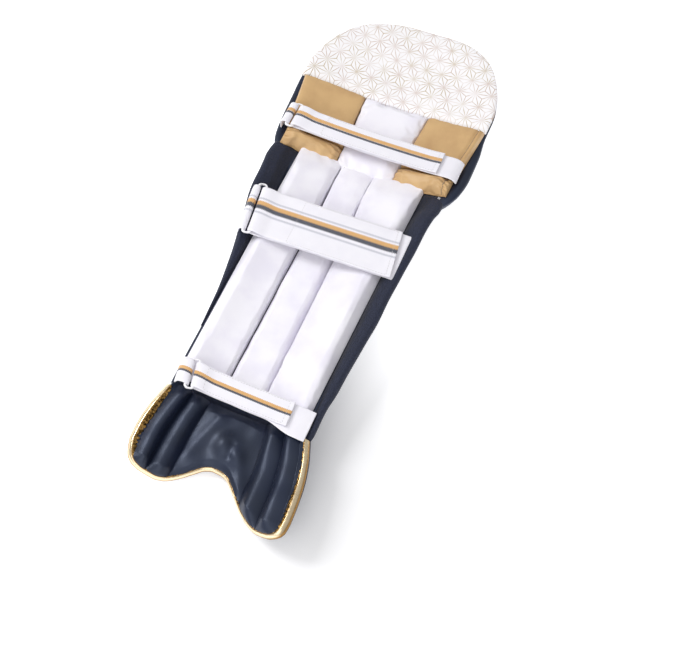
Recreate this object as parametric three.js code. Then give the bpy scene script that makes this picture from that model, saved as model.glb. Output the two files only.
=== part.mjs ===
// Batting pad lying on its front, leg side up, with its straps fastened.
// Millimetres. X runs across the pad, Y from the toe to the dome over the knee, Z up from the floor.
import * as THREE from 'three';

// Driving sizes
const TOE_END = -350.5;
const SHIN_LOW = -237;
const SHIN_HIGH = 84;
const KNEE_LOW = 112;
const KNEE_HIGH = 214;
const DOME_TOP = 354;
const GAP = 0.5;
const CANES = 7;
const CANE_GROOVE = 3;
const KNEE_ROLLS = 3;
const ROLL_GROOVE = 4;
const RIM_START = 0.965;
const RIM_ROUND = 0.25;
const BODY_SQUARE = 3;
const SHIN_ROWS = 8;
const WAIST_ROWS = 4;
const DOME_ROWS = 9;
const GROOVE_STEPS = 3;
const WEBBING = 2;
const LAYER_GAP = 0.7;
const RING_BAR = 3;
const RING_SLOT = 7;
const RING_THICK = 3;
const RING_END = 2.5;
const RING_CORNER = 5.5;
const RING_CURVE = 5;
const SLOT_CORNER = 2.5;

// Lining surface: a trough whose height on the centre line and radius change along the pad
const SECTIONS = [
  { y: TOE_END, rise: 12, radius: 170 },
  { y: -300, rise: 12, radius: 160 },
  { y: -240, rise: 20, radius: 145 },
  { y: -100, rise: 22, radius: 160 },
  { y: 50, rise: 24, radius: 175 },
  { y: 100, rise: 27, radius: 225 },
  { y: 160, rise: 30, radius: 330 },
  { y: 222, rise: 36, radius: 450 },
  { y: 290, rise: 47, radius: 480 },
  { y: DOME_TOP, rise: 60, radius: 500 },
];

// Outline of the front body, its reach from the centre line at the lining
const OUTLINE = [
  { y: SHIN_LOW, left: 78.5, right: 82 },
  { y: -100, left: 80.5, right: 80 },
  { y: 50, left: 83, right: 82 },
  { y: SHIN_HIGH, left: 85, right: 85 },
  { y: 95, left: 91, right: 104 },
  { y: 106, left: 106, right: 115.5 },
  { y: 122, left: 113, right: 122.5 },
  { y: 150, left: 118, right: 126.5 },
  { y: 190, left: 123, right: 128 },
  { y: 222, left: 126.5, right: 129 },
  { y: 250, left: 125.5, right: 130 },
  { y: 280, left: 117.5, right: 124 },
  { y: 305, left: 105, right: 113.5 },
  { y: 328, left: 85.5, right: 97 },
  { y: 343, left: 58, right: 76 },
  { y: 351, left: 31, right: 53 },
  { y: DOME_TOP, left: 6, right: 27 },
];

// Thickness of the front body in its middle and at its rim
const BODY = [
  { y: SHIN_LOW, core: 23.5, rim: 9 },
  { y: -100, core: 26, rim: 10 },
  { y: 50, core: 28, rim: 10 },
  { y: 100, core: 31, rim: 11 },
  { y: 160, core: 34, rim: 12 },
  { y: 222, core: 37, rim: 10 },
  { y: 250, core: 28, rim: 8 },
  { y: 290, core: 21, rim: 7 },
  { y: DOME_TOP, core: 11, rim: 6 },
];

// Edges across the lining where pads meet: height on the pad at both sides, and how far the middle arches up
const EDGES = {
  ankle: { y: -236.5, arch: 0 },
  roll: { y: 112.5, arch: 12 },
  knee: { y: 138, arch: 9 },
  dome: { y: 224, arch: 7 },
};
const EDGE_HALF = 126.5;
const SEAM = 1;

// Pads on the lining: edges at both ends, sides across X at both ends, height, height at the ankle end if
// lower, and how square the crown is across and along
const PADS = [
  { name: 'knee_panel', slot: 'white_cloth', from: 'roll', to: 'dome', lowLeft: -34, lowRight: 41,
    highLeft: -37, highRight: 49.5, height: 11, across: 4, along: 5, columns: 8, rows: 10 },
  { name: 'knee_pad_left', slot: 'tan_leather', from: 'knee', to: 'dome', lowLeft: -109, lowRight: -35.7,
    highLeft: -122, highRight: -38.5, height: 12, across: 6, along: 7, columns: 9, rows: 8 },
  { name: 'knee_pad_right', slot: 'tan_leather', from: 'knee', to: 'dome', lowLeft: 44.5, lowRight: 115.5,
    highLeft: 51, highRight: 121, height: 11.5, across: 6, along: 7, columns: 9, rows: 8 },
  { name: 'knee_roll_left', slot: 'tan_leather', from: 'roll', to: 'knee', lowLeft: -107, lowRight: -35.2,
    highLeft: -109, highRight: -35.7, height: 16, across: 5, along: 2, columns: 10, rows: 8 },
  { name: 'knee_roll_right', slot: 'tan_leather', from: 'roll', to: 'knee', lowLeft: 42.2, lowRight: 115,
    highLeft: 44.5, highRight: 115.5, height: 15.2, across: 5, along: 2, columns: 10, rows: 8 },
  { name: 'bolster_left', slot: 'white_cloth', from: 'ankle', to: 'roll', lowLeft: -77.5, lowRight: -27.5,
    highLeft: -82, highRight: -26.5, height: 19, endHeight: 13, across: 2.6, along: 8, columns: 8, rows: 13 },
  { name: 'bolster_centre', slot: 'white_cloth', from: 'ankle', to: 'roll', lowLeft: -26.5, lowRight: 21,
    highLeft: -25.5, highRight: 18, height: 12, endHeight: 10, across: 3, along: 8, columns: 8, rows: 13 },
  { name: 'bolster_right', slot: 'white_cloth', from: 'ankle', to: 'roll', lowLeft: 22, lowRight: 76,
    highLeft: 19, highRight: 76, height: 18, endHeight: 12, across: 2.6, along: 8, columns: 8, rows: 13 },
];
const PAD_EDGE = 3;
const END_FLAT = 15;
const END_RISE = 80;

// Printed lining of the dome: overhang past the front body, height, how square its crown is, and its rows,
// crowded towards the top
const HAT_OVERHANG = 1;
const HAT_HEIGHT = 8;
const HAT_SQUARE = 6;
const HAT_ROWS = 11;
const HAT_COLUMNS = 12;
const HAT_CROWDING = 1.7;

// Side flaps: reach of the flap along the shin
const WING_RIGHT = [
  { y: -236, reach: 8 },
  { y: -200, reach: 10 },
  { y: -186, reach: 13 },
  { y: -150, reach: 19 },
  { y: -93, reach: 26 },
  { y: -40, reach: 29 },
  { y: 20, reach: 32 },
  { y: 83, reach: 34 },
];
const WING_LEFT = [
  { y: -160, reach: 3.5 },
  { y: -95, reach: 5 },
  { y: -52, reach: 9 },
  { y: -11, reach: 16.5 },
  { y: 45, reach: 25 },
  { y: 93, reach: 28 },
];
const WING_PROFILE = [
  { share: 0, fullness: 0.9 },
  { share: 0.2, fullness: 1 },
  { share: 0.45, fullness: 1 },
  { share: 0.7, fullness: 0.95 },
  { share: 0.88, fullness: 0.8 },
  { share: 1, fullness: 0.4 },
];
const WING_ROWS = 13;
const WING_THIN = 2;
const WING_THICK = 10;
const WING_THICKEN = 0.5;
const WING_GAP = 1;
const WING_LEAN = THREE.MathUtils.degToRad(52);

// Instep flap: sides, toe edge from the left side (-1) to the right side (1), and its ribs
const INSTEP_SIDES = [
  { y: TOE_END, left: 85, right: 102 },
  { y: -325, left: 85, right: 101 },
  { y: -295, left: 86, right: 98 },
  { y: -270, left: 83, right: 93 },
  { y: -255, left: 80, right: 88.5 },
  { y: SHIN_LOW, left: 77, right: 83 },
];
const TOE_EDGE = [
  { across: -1, y: -311 },
  { across: -0.97, y: -320.5 },
  { across: -0.93, y: -327.5 },
  { across: -0.86, y: -332 },
  { across: -0.75, y: -334 },
  { across: -0.6, y: -334.2 },
  { across: -0.5, y: -332 },
  { across: -0.42, y: -328 },
  { across: -0.31, y: -320 },
  { across: -0.2, y: -310.5 },
  { across: -0.09, y: -302 },
  { across: 0.02, y: -299 },
  { across: 0.1, y: -299.5 },
  { across: 0.19, y: -302.5 },
  { across: 0.32, y: -314.5 },
  { across: 0.5, y: -333.5 },
  { across: 0.62, y: -343 },
  { across: 0.74, y: -349 },
  { across: 0.86, y: TOE_END },
  { across: 0.94, y: -348.5 },
  { across: 0.985, y: -343 },
  { across: 1, y: -333 },
];
const INSTEP_VALLEYS = [-1, -0.74, -0.44, 0.44, 0.74, 1];
const RIB_STEPS = [4, 4, 8, 4, 4];
const RIB_HEIGHT = 5;
const RIB_SHAPE = 0.7;
const RIB_LEFT = 0.04;
const RIB_FADE_TOE = 0.12;
const RIB_FADE_ANKLE = 0.15;
const INSTEP_EDGE = 4;
const INSTEP_TOE_DEPTH = 6.5;
const INSTEP_SIDE_GAIN = 2.5;
const INSTEP_CORE_GAIN = 8;
const INSTEP_SQUARE = 4;
const INSTEP_STEPS = 11;
const BINDING_OUT = 5;
const BINDING_DROP = 1.5;
const BINDING_HALF = 6;
const BINDING_STEPS = 6;

// Straps: middle and width along Y and its drift across, ring with its overhang past the webbing
// at each end and its shift along Y, levels, ends of both layers
const STRAPS = [
  { name: 'knee', y: 149.6, width: 33, drift: 0, ringX: -103.5, turn: 0, overhang: 3.8, ringShift: 0,
    ringZ: 65.6, middleZ: 60, sideX: 110, sideZ: 64.6, freeEnd: 94, freeSkew: 0,
    sewn: [[112, 64], [116.5, 61.2], [119, 57.5]],
    anchor: [[-112.6, 69], [-115, 66], [-115.6, 53]] },
  { name: 'calf', y: 0.8, width: 65.5, drift: 0.035, ringX: -88.5, turn: 0.145, overhang: 5.4, ringShift: 1.4,
    ringZ: 64, middleZ: 61.2, sideX: 92, sideZ: 61.2, freeEnd: 92.5, freeSkew: -0.14,
    sewn: [[94.5, 61.1], [99.8, 60.6]],
    anchor: [[-95.2, 67.4], [-98.4, 65], [-99.8, 61.4], [-100, 56.4]] },
  { name: 'ankle', y: -226.3, width: 29.5, drift: -0.015, ringX: -58.3, turn: 0.22, overhang: 4.6,
    ringShift: 0, ringZ: 55.5, middleZ: 51.2, sideX: 71, sideZ: 52.5, freeEnd: 61.5, freeSkew: -0.05,
    sewn: [[75, 52.4], [80.5, 51.4], [85.5, 51.1]],
    anchor: [[-69.6, 58.9], [-74.4, 55.2], [-77.6, 47.4]] },
];

// Turn of the webbing round a ring bar, and the runs over which a layer rises to it and slants with it
const BAR_OFFSET = (RING_SLOT + RING_BAR) / 2;
const FOLD_REACH_SPARE = 1.2;
const FOLD_RADIUS_SPARE = 0.9;
const FOLD_REACH = RING_BAR / 2 + WEBBING / 2 + FOLD_REACH_SPARE;
const FOLD_RADIUS = RING_THICK / 2 + WEBBING / 2 + FOLD_RADIUS_SPARE;
const FOLD_RUN = 4;
const FOLD_STEPS = 6;
const RISE_RUN = 18;
const SLANT_RUN = 56;
const LAYER_STEPS = 14;
const TAB_UNDER = 2;

// Stuffs
const COLOURS = {
  navy_cover: 0x2b3044,
  navy_cloth: 0x242a3c,
  white_cloth: 0xf3f1f7,
  printed_cloth: 0xf2ebe4,
  tan_leather: 0xc9a877,
  gold_cover: 0xb98b3c,
  webbing: 0xf0eef4,
  white_plastic: 0xf7f6f8,
};
const stuffs = {};
for (const [slot, colour] of Object.entries(COLOURS)) {
  stuffs[slot] = new THREE.MeshStandardMaterial({ name: slot, color: colour, roughness: 0.7 });
}
stuffs.gold_cover.metalness = 0.6;

// Value of a table column at a place, smooth and without overshoot
function valueAt(rows, along, column, place) {
  const last = rows.length - 1;
  const steepness = (k) => (rows[k + 1][column] - rows[k][column]) / (rows[k + 1][along] - rows[k][along]);
  const joined = (before, after) => (before * after > 0 ? (2 * before * after) / (before + after) : 0);
  let k = 0;
  while (k < last - 1 && place > rows[k + 1][along]) k += 1;
  const span = rows[k + 1][along] - rows[k][along];
  const here = steepness(k);
  const start = k > 0 ? joined(steepness(k - 1), here) : here;
  const end = k < last - 1 ? joined(here, steepness(k + 1)) : here;
  const t = THREE.MathUtils.clamp((place - rows[k][along]) / span, 0, 1);
  const rest = 1 - t;
  const low = rows[k][column] * (1 + 2 * t) * rest * rest + start * span * t * rest * rest;
  const high = rows[k + 1][column] * (3 - 2 * t) * t * t - end * span * t * t * rest;
  return low + high;
}

// Angle of the trough at a distance across, and the point lifted off the lining along the section normal
function troughAngle(x, y) {
  return Math.asin(x / valueAt(SECTIONS, 'y', 'radius', y));
}

function onLining(x, y, lift) {
  const radius = valueAt(SECTIONS, 'y', 'radius', y);
  const rise = valueAt(SECTIONS, 'y', 'rise', y);
  const angle = troughAngle(x, y);
  const reach = radius - lift;
  return new THREE.Vector3(reach * Math.sin(angle), y, rise + radius - reach * Math.cos(angle));
}

function solid(points, faces) {
  const geometry = new THREE.BufferGeometry();
  geometry.setAttribute('position', new THREE.Float32BufferAttribute(points.flatMap((p) => p.toArray()), 3));
  geometry.setIndex(faces);
  geometry.computeVertexNormals();
  return geometry;
}

// Closed slab between two grids of points, rows along +Y and columns along +X
function slab(upper, lower) {
  const rows = upper.length;
  const columns = upper[0].length;
  const points = [...upper.flat(), ...lower.flat()];
  const below = rows * columns;
  const faces = [];
  for (let i = 0; i < rows - 1; i += 1) {
    for (let j = 0; j < columns - 1; j += 1) {
      const a = i * columns + j;
      const b = a + 1;
      const c = b + columns;
      const d = a + columns;
      faces.push(a, b, c, a, c, d);
      faces.push(below + a, below + c, below + b, below + a, below + d, below + c);
    }
  }
  const rim = [];
  for (let j = 0; j < columns - 1; j += 1) rim.push(j);
  for (let i = 0; i < rows - 1; i += 1) rim.push(i * columns + columns - 1);
  for (let j = columns - 1; j > 0; j -= 1) rim.push((rows - 1) * columns + j);
  for (let i = rows - 1; i > 0; i -= 1) rim.push(i * columns);
  rim.forEach((p, k) => {
    const q = rim[(k + 1) % rim.length];
    faces.push(below + p, below + q, q, below + p, q, p);
  });
  return solid(points, faces);
}

// Closed rod through rings of points, each ring turning backwards along the path
function rod(rings) {
  const count = rings[0].length;
  const points = rings.flat();
  const faces = [];
  for (let k = 0; k < rings.length - 1; k += 1) {
    for (let i = 0; i < count; i += 1) {
      const next = (i + 1) % count;
      const a = k * count + i;
      const b = a + count;
      const c = (k + 1) * count + next;
      const d = k * count + next;
      faces.push(a, b, c, a, c, d);
    }
  }
  const end = (rings.length - 1) * count;
  for (let i = 1; i < count - 1; i += 1) {
    faces.push(0, i, i + 1);
    faces.push(end, end + i + 1, end + i);
  }
  return solid(points, faces);
}

// Distance across at a share of the width, -1 at the left rim of the front body and 1 at the right
function acrossBody(share, y, spare) {
  const side = share < 0 ? 'left' : 'right';
  return share * (valueAt(OUTLINE, 'y', side, y) + spare);
}

// Place along Y of an edge between pads
function edgeAt(name, x) {
  return EDGES[name].y + EDGES[name].arch * (1 - (x / EDGE_HALF) ** 2);
}

// Steps from 0 to 1, closer together at both ends
function easedSteps(count) {
  return Array.from({ length: count + 1 }, (_, k) => (1 - Math.cos((Math.PI * k) / count)) / 2);
}

function evenSteps(from, to, count) {
  return Array.from({ length: count + 1 }, (_, k) => from + ((to - from) * k) / count);
}

// Crown of a pad: 0 at both ends, 1 in the middle
function crown(t, square) {
  return (1 - Math.abs(2 * t - 1) ** square) ** (1 / square);
}

// Groove between two canes or rolls, flat on the middle third of each
function grooveAt(phase, depth) {
  const near = Math.max(0, 2 * Math.abs(Math.cos(Math.PI * phase)) - 1);
  return depth * near * near;
}

// Front body
function frontShell() {
  const domeSteps = evenSteps(0, 1, DOME_ROWS).slice(1);
  const places = [
    ...evenSteps(SHIN_LOW, SHIN_HIGH, SHIN_ROWS),
    ...evenSteps(SHIN_HIGH, KNEE_LOW, WAIST_ROWS).slice(1),
    ...evenSteps(KNEE_LOW, KNEE_HIGH, KNEE_ROLLS * GROOVE_STEPS).slice(1),
    ...domeSteps.map((t) => KNEE_HIGH + (DOME_TOP - KNEE_HIGH) * (1 - (1 - t) ** 2)),
  ];
  const canePlaces = evenSteps(-1, 1, CANES * GROOVE_STEPS).slice(1, -1);
  const columns = [-1, -RIM_START, ...canePlaces, RIM_START, 1];
  const upper = [];
  const lower = [];
  for (const y of places) {
    const core = valueAt(BODY, 'y', 'core', y);
    const rim = valueAt(BODY, 'y', 'rim', y);
    const inKnee = y >= KNEE_LOW && y <= KNEE_HIGH;
    const rollPhase = ((y - KNEE_LOW) / (KNEE_HIGH - KNEE_LOW)) * KNEE_ROLLS;
    upper.push(columns.map((c) => {
      const lift = Math.abs(c) === 1 ? -rim * RIM_ROUND : 0;
      return onLining(acrossBody(c, y, 0), y, lift);
    }));
    lower.push(columns.map((c) => {
      const cut = Math.abs(c) === 1 ? rim * RIM_ROUND : 0;
      const deep = rim + (core - rim) * (1 - Math.abs(c) ** BODY_SQUARE) - cut;
      const point = onLining(acrossBody(c, y, 0), y, -deep);
      point.z = Math.max(point.z, 0);
      const canePhase = ((c + 1) / 2) * CANES;
      const groove = inKnee ? grooveAt(rollPhase, ROLL_GROOVE) : grooveAt(canePhase, CANE_GROOVE);
      point.z += Math.abs(c) >= RIM_START ? 0 : groove;
      return point;
    }));
  }
  return slab(upper, lower);
}

// Pad with a crowned top between two ends and two sides
function pad(row) {
  const { from, to, lowLeft, lowRight, highLeft, highRight, height, across, along, columns, rows } = row;
  const endHeight = row.endHeight ?? height;
  const upper = [];
  const lower = [];
  for (const b of easedSteps(rows)) {
    const left = THREE.MathUtils.lerp(lowLeft, highLeft, b);
    const right = THREE.MathUtils.lerp(lowRight, highRight, b);
    const places = easedSteps(columns).map((a) => {
      const x = THREE.MathUtils.lerp(left, right, a);
      return { a, x, y: THREE.MathUtils.lerp(edgeAt(from, x) + SEAM / 2, edgeAt(to, x) - SEAM / 2, b) };
    });
    upper.push(places.map(({ a, x, y }) => {
      const start = EDGES[from].y;
      const grown = THREE.MathUtils.smoothstep(y, start + END_FLAT, start + END_RISE);
      const full = THREE.MathUtils.lerp(endHeight, height, grown);
      const rise = PAD_EDGE + (full - PAD_EDGE) * crown(a, across) * crown(b, along);
      return onLining(x, y, GAP + rise);
    }));
    lower.push(places.map(({ x, y }) => onLining(x, y, GAP)));
  }
  return slab(upper, lower);
}

// Lining pad that follows the outline of the dome
function hatLining() {
  const upper = [];
  const lower = [];
  const top = DOME_TOP + HAT_OVERHANG;
  for (const b of evenSteps(0, 1, HAT_ROWS).map((t) => 1 - (1 - t) ** HAT_CROWDING)) {
    const places = easedSteps(HAT_COLUMNS).map((a) => {
      const share = 2 * a - 1;
      const y = THREE.MathUtils.lerp(edgeAt('dome', share * EDGE_HALF) + SEAM / 2, top, b);
      return { a, x: acrossBody(share, y - HAT_OVERHANG * b, HAT_OVERHANG), y };
    });
    upper.push(places.map(({ a, x, y }) => {
      const full = crown(a, HAT_SQUARE) * crown(0.5 + b / 2, HAT_SQUARE);
      return onLining(x, y, GAP + PAD_EDGE + (HAT_HEIGHT - PAD_EDGE) * full);
    }));
    lower.push(places.map(({ x, y }) => onLining(x, y, GAP)));
  }
  return slab(upper, lower);
}

// Side flap that grows out of the rim of the shin, side -1 for left and 1 for right
function wing(table, side) {
  const first = table[0].y;
  const last = table[table.length - 1].y;
  const inner = [];
  const outer = [];
  for (const y of evenSteps(first, last, WING_ROWS)) {
    const reach = valueAt(table, 'y', 'reach', y);
    const half = Math.abs(acrossBody(side, y, 0));
    const rim = valueAt(BODY, 'y', 'rim', y);
    const root = onLining(half, y, -rim / 2);
    const start = troughAngle(half, y);
    const thick = Math.min(WING_THICK, WING_THIN + reach * WING_THICKEN);
    let x = root.x + WING_GAP * Math.cos(start);
    let z = root.z + WING_GAP * Math.sin(start);
    const innerRow = [];
    const outerRow = [];
    WING_PROFILE.forEach(({ share, fullness }, k) => {
      const lean = start + (WING_LEAN - start) * share;
      const step = k > 0 ? (share - WING_PROFILE[k - 1].share) * reach : 0;
      x += step * Math.cos(lean);
      z += step * Math.sin(lean);
      const off = (thick * fullness) / 2;
      innerRow.push(new THREE.Vector3(side * (x - off * Math.sin(lean)), y, z + off * Math.cos(lean)));
      outerRow.push(new THREE.Vector3(side * (x + off * Math.sin(lean)), y, z - off * Math.cos(lean)));
    });
    inner.push(side > 0 ? innerRow : innerRow.reverse());
    outer.push(side > 0 ? outerRow : outerRow.reverse());
  }
  return slab(inner, outer);
}

// Point across and along the instep: across -1 to 1, along 0 at the toe edge and 1 at the ankle
function instepPlace(across, along) {
  const y = THREE.MathUtils.lerp(valueAt(TOE_EDGE, 'across', 'y', across), SHIN_LOW - GAP, along);
  const side = valueAt(INSTEP_SIDES, 'y', across < 0 ? 'left' : 'right', y);
  return { x: across * side, y };
}

function instepDepth(across, along) {
  const core = INSTEP_CORE_GAIN * along * along * (1 - across ** INSTEP_SQUARE);
  return INSTEP_TOE_DEPTH + INSTEP_SIDE_GAIN * along + core;
}

// Columns across the instep with the swell of the rib that each one crosses
function instepColumns() {
  const columns = [{ across: INSTEP_VALLEYS[0], swell: 0 }];
  RIB_STEPS.forEach((count, k) => {
    for (const t of evenSteps(0, 1, count).slice(1)) {
      const across = THREE.MathUtils.lerp(INSTEP_VALLEYS[k], INSTEP_VALLEYS[k + 1], t);
      columns.push({ across, swell: t < 1 ? Math.sin(Math.PI * t) ** RIB_SHAPE : 0 });
    }
  });
  return columns;
}

const INSTEP_COLUMNS = instepColumns();
const INSTEP_ROWS = easedSteps(INSTEP_STEPS);

function instep() {
  const upper = [];
  const lower = [];
  for (const along of INSTEP_ROWS) {
    const fade = Math.min(1, along / RIB_FADE_TOE, (1 + RIB_LEFT - along) / RIB_FADE_ANKLE) ** 0.5;
    upper.push(INSTEP_COLUMNS.map(({ across, swell }) => {
      const { x, y } = instepPlace(across, along);
      return onLining(x, y, INSTEP_EDGE + RIB_HEIGHT * swell * fade);
    }));
    lower.push(INSTEP_COLUMNS.map(({ across }) => {
      const { x, y } = instepPlace(across, along);
      const point = onLining(x, y, -instepDepth(across, along));
      point.z = Math.max(point.z, 0);
      return point;
    }));
  }
  return slab(upper, lower);
}

// Binding round the free edge of the instep, from the left of the ankle to the right
function instepBinding() {
  const edge = [
    ...INSTEP_ROWS.slice(1, -2).reverse().map((along) => [-1, along]),
    ...INSTEP_COLUMNS.map(({ across }) => [across, 0]),
    ...INSTEP_ROWS.slice(1, -2).map((along) => [1, along]),
  ];
  const path = edge.map(([across, along]) => {
    const { x, y } = instepPlace(across, along);
    return { x, y, point: onLining(x, y, -BINDING_DROP) };
  });
  const rings = path.map(({ x, y, point }, k) => {
    const before = path[Math.max(k - 1, 0)].point;
    const after = path[Math.min(k + 1, path.length - 1)].point;
    const tangent = after.clone().sub(before).normalize();
    const angle = troughAngle(x, y);
    const up = new THREE.Vector3(-Math.sin(angle), 0, Math.cos(angle));
    const out = tangent.clone().cross(up).normalize();
    return evenSteps(-90, 90, BINDING_STEPS).map((degrees) => {
      const a = THREE.MathUtils.degToRad(degrees);
      const away = GAP + BINDING_OUT * Math.cos(a);
      return point.clone().addScaledVector(out, away).addScaledVector(up, BINDING_HALF * Math.sin(a));
    });
  });
  return rod(rings);
}

// Flat band of webbing along a path in X and Z; the skew slants the band across its width and the drift
// moves it along Y on its way across
function band(path, { y, width, drift }) {
  const rings = path.map(({ x, z, skew }, k) => {
    const before = path[Math.max(k - 1, 0)];
    const after = path[Math.min(k + 1, path.length - 1)];
    const run = Math.hypot(after.x - before.x, after.z - before.z);
    const nx = (-(after.z - before.z) / run) * (WEBBING / 2);
    const nz = ((after.x - before.x) / run) * (WEBBING / 2);
    const corner = (sign, edge) => {
      const away = (edge * width) / 2;
      return new THREE.Vector3(x + sign * nx + skew * away, y + drift * x + away, z + sign * nz);
    };
    return [corner(1, -1), corner(1, 1), corner(-1, 1), corner(-1, -1)];
  });
  return rod(rings);
}

// Half turn of a band round a bar of a ring
function turnRound(x, z, from, to, skew) {
  return evenSteps(from, to, FOLD_STEPS).map((degrees) => {
    const a = THREE.MathUtils.degToRad(degrees);
    return { x: x + FOLD_REACH * Math.cos(a), z: z + FOLD_RADIUS * Math.sin(a), skew };
  });
}

// Strap: sewn end at the right, under layer, turn round the ring, top layer, free end
function strap(row) {
  const { ringX, turn, ringZ, middleZ, sideX, sideZ, freeEnd, freeSkew, sewn } = row;
  const barX = ringX + BAR_OFFSET;
  const eased = (x, run) => THREE.MathUtils.smoothstep(barX + FOLD_RUN + run - x, 0, run);
  const sag = (x) => middleZ + (sideZ - middleZ) * (x / sideX) ** 2;
  const under = (x) => THREE.MathUtils.lerp(sag(x), ringZ - FOLD_RADIUS, eased(x, RISE_RUN));
  const above = (x) => sag(x) + WEBBING + LAYER_GAP;
  const over = (x) => THREE.MathUtils.lerp(above(x), ringZ + FOLD_RADIUS, eased(x, RISE_RUN));
  const slant = (x) => -turn * eased(x, SLANT_RUN);
  const freeSlant = (x) => slant(x) + freeSkew * THREE.MathUtils.smoothstep(x, freeEnd - SLANT_RUN, freeEnd);
  const sewnEnd = sewn.slice().reverse().map(([x, z]) => ({ x, z, skew: 0 }));
  const underPath = evenSteps(sideX - FOLD_RUN, barX + FOLD_RUN, LAYER_STEPS)
    .map((x) => ({ x, z: under(x), skew: slant(x) }));
  const fold = turnRound(barX, ringZ, 270, 90, -turn);
  const overPath = evenSteps(barX + FOLD_RUN, freeEnd, LAYER_STEPS)
    .map((x) => ({ x, z: over(x), skew: freeSlant(x) }));
  return band([...sewnEnd, ...underPath, ...fold, ...overPath].reverse(), row);
}

// Tab: outside end over the left edge, top layer, turn round the ring, short under layer
function tab(row) {
  const { ringX, turn, ringZ, anchor } = row;
  const barX = ringX - BAR_OFFSET;
  const outside = anchor.slice().reverse().map(([x, z]) => ({ x, z, skew: -turn }));
  const fold = turnRound(barX, ringZ, 90, -90, -turn);
  const under = [{ x: barX - TAB_UNDER, z: ringZ - FOLD_RADIUS, skew: -turn }];
  return band([...outside, ...fold, ...under], row);
}

// Frame with rounded ends that joins a tab and a strap
function roundedRectangle(shape, halfX, halfY, corner) {
  shape.moveTo(-halfX + corner, -halfY);
  shape.lineTo(halfX - corner, -halfY);
  shape.absarc(halfX - corner, -halfY + corner, corner, -Math.PI / 2, 0, false);
  shape.lineTo(halfX, halfY - corner);
  shape.absarc(halfX - corner, halfY - corner, corner, 0, Math.PI / 2, false);
  shape.lineTo(-halfX + corner, halfY);
  shape.absarc(-halfX + corner, halfY - corner, corner, Math.PI / 2, Math.PI, false);
  shape.lineTo(-halfX, -halfY + corner);
  shape.absarc(-halfX + corner, -halfY + corner, corner, Math.PI, Math.PI * 1.5, false);
  return shape;
}

function ring({ y, width, drift, ringX, turn, overhang, ringShift, ringZ }) {
  const halfX = RING_SLOT / 2;
  const halfY = width / 2 + overhang;
  const outer = roundedRectangle(new THREE.Shape(), halfX + RING_BAR, halfY, RING_CORNER);
  outer.holes.push(roundedRectangle(new THREE.Path(), halfX, halfY - RING_END, SLOT_CORNER));
  const settings = { depth: RING_THICK, bevelEnabled: false, curveSegments: RING_CURVE };
  const frame = new THREE.ExtrudeGeometry(outer, settings);
  frame.translate(0, 0, -RING_THICK / 2);
  frame.rotateZ(Math.atan(turn));
  frame.translate(ringX, y + drift * ringX + ringShift, ringZ);
  return frame;
}

// All the pieces in one group
function piece(name, slot, geometry) {
  const mesh = new THREE.Mesh(geometry, stuffs[slot]);
  mesh.name = name;
  return mesh;
}

const batting_pad = new THREE.Group();
batting_pad.name = 'batting_pad';
batting_pad.add(piece('front_shell', 'navy_cover', frontShell()));
batting_pad.add(piece('hat_lining', 'printed_cloth', hatLining()));
for (const row of PADS) batting_pad.add(piece(row.name, row.slot, pad(row)));
batting_pad.add(piece('wing_left', 'navy_cloth', wing(WING_LEFT, -1)));
batting_pad.add(piece('wing_right', 'navy_cloth', wing(WING_RIGHT, 1)));
batting_pad.add(piece('instep', 'navy_cover', instep()));
batting_pad.add(piece('instep_binding', 'gold_cover', instepBinding()));
for (const row of STRAPS) {
  batting_pad.add(piece(`${row.name}_strap`, 'webbing', strap(row)));
  batting_pad.add(piece(`${row.name}_tab`, 'webbing', tab(row)));
  batting_pad.add(piece(`${row.name}_ring`, 'white_plastic', ring(row)));
}

// Origin at the middle of the underside of the box round the pad
const box = new THREE.Box3().setFromObject(batting_pad);
const middle = box.getCenter(new THREE.Vector3());
for (const mesh of batting_pad.children) mesh.geometry.translate(-middle.x, -middle.y, -box.min.z);

export default batting_pad;
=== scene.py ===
"""Batting pad lying on its front, leg side up, with its straps fastened: the finish of every piece.

Lengths are millimetres in the pad's own design frame until a mesh is made: X runs across the pad, Y from the
toe to the dome over the knee, Z up from the floor.
"""

import bpy
import numpy as np
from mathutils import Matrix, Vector


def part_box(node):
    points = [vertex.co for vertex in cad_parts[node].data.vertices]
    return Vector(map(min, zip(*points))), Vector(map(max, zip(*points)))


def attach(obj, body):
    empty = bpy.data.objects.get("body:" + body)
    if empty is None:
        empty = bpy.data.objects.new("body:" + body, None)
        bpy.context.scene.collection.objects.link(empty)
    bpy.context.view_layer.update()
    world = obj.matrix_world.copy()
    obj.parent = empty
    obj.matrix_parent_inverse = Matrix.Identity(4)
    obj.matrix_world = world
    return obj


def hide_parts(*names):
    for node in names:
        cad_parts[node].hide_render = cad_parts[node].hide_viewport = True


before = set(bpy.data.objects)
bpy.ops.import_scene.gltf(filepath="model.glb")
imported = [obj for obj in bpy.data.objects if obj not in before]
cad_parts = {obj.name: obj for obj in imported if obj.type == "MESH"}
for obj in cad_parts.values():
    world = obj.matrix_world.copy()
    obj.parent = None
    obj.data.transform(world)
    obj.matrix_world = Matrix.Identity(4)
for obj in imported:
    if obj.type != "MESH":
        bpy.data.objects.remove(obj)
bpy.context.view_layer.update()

# Driving sizes, as the solids have them
TOE_END = -350.5
SHIN_LOW = -237
SHIN_HIGH = 84
KNEE_LOW = 112
KNEE_HIGH = 214
DOME_TOP = 354
GAP = 0.5
SEAM = 1
CANES = 7
KNEE_ROLLS = 3
RIM_START = 0.93
WEBBING = 2
LAYER_GAP = 0.7

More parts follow.
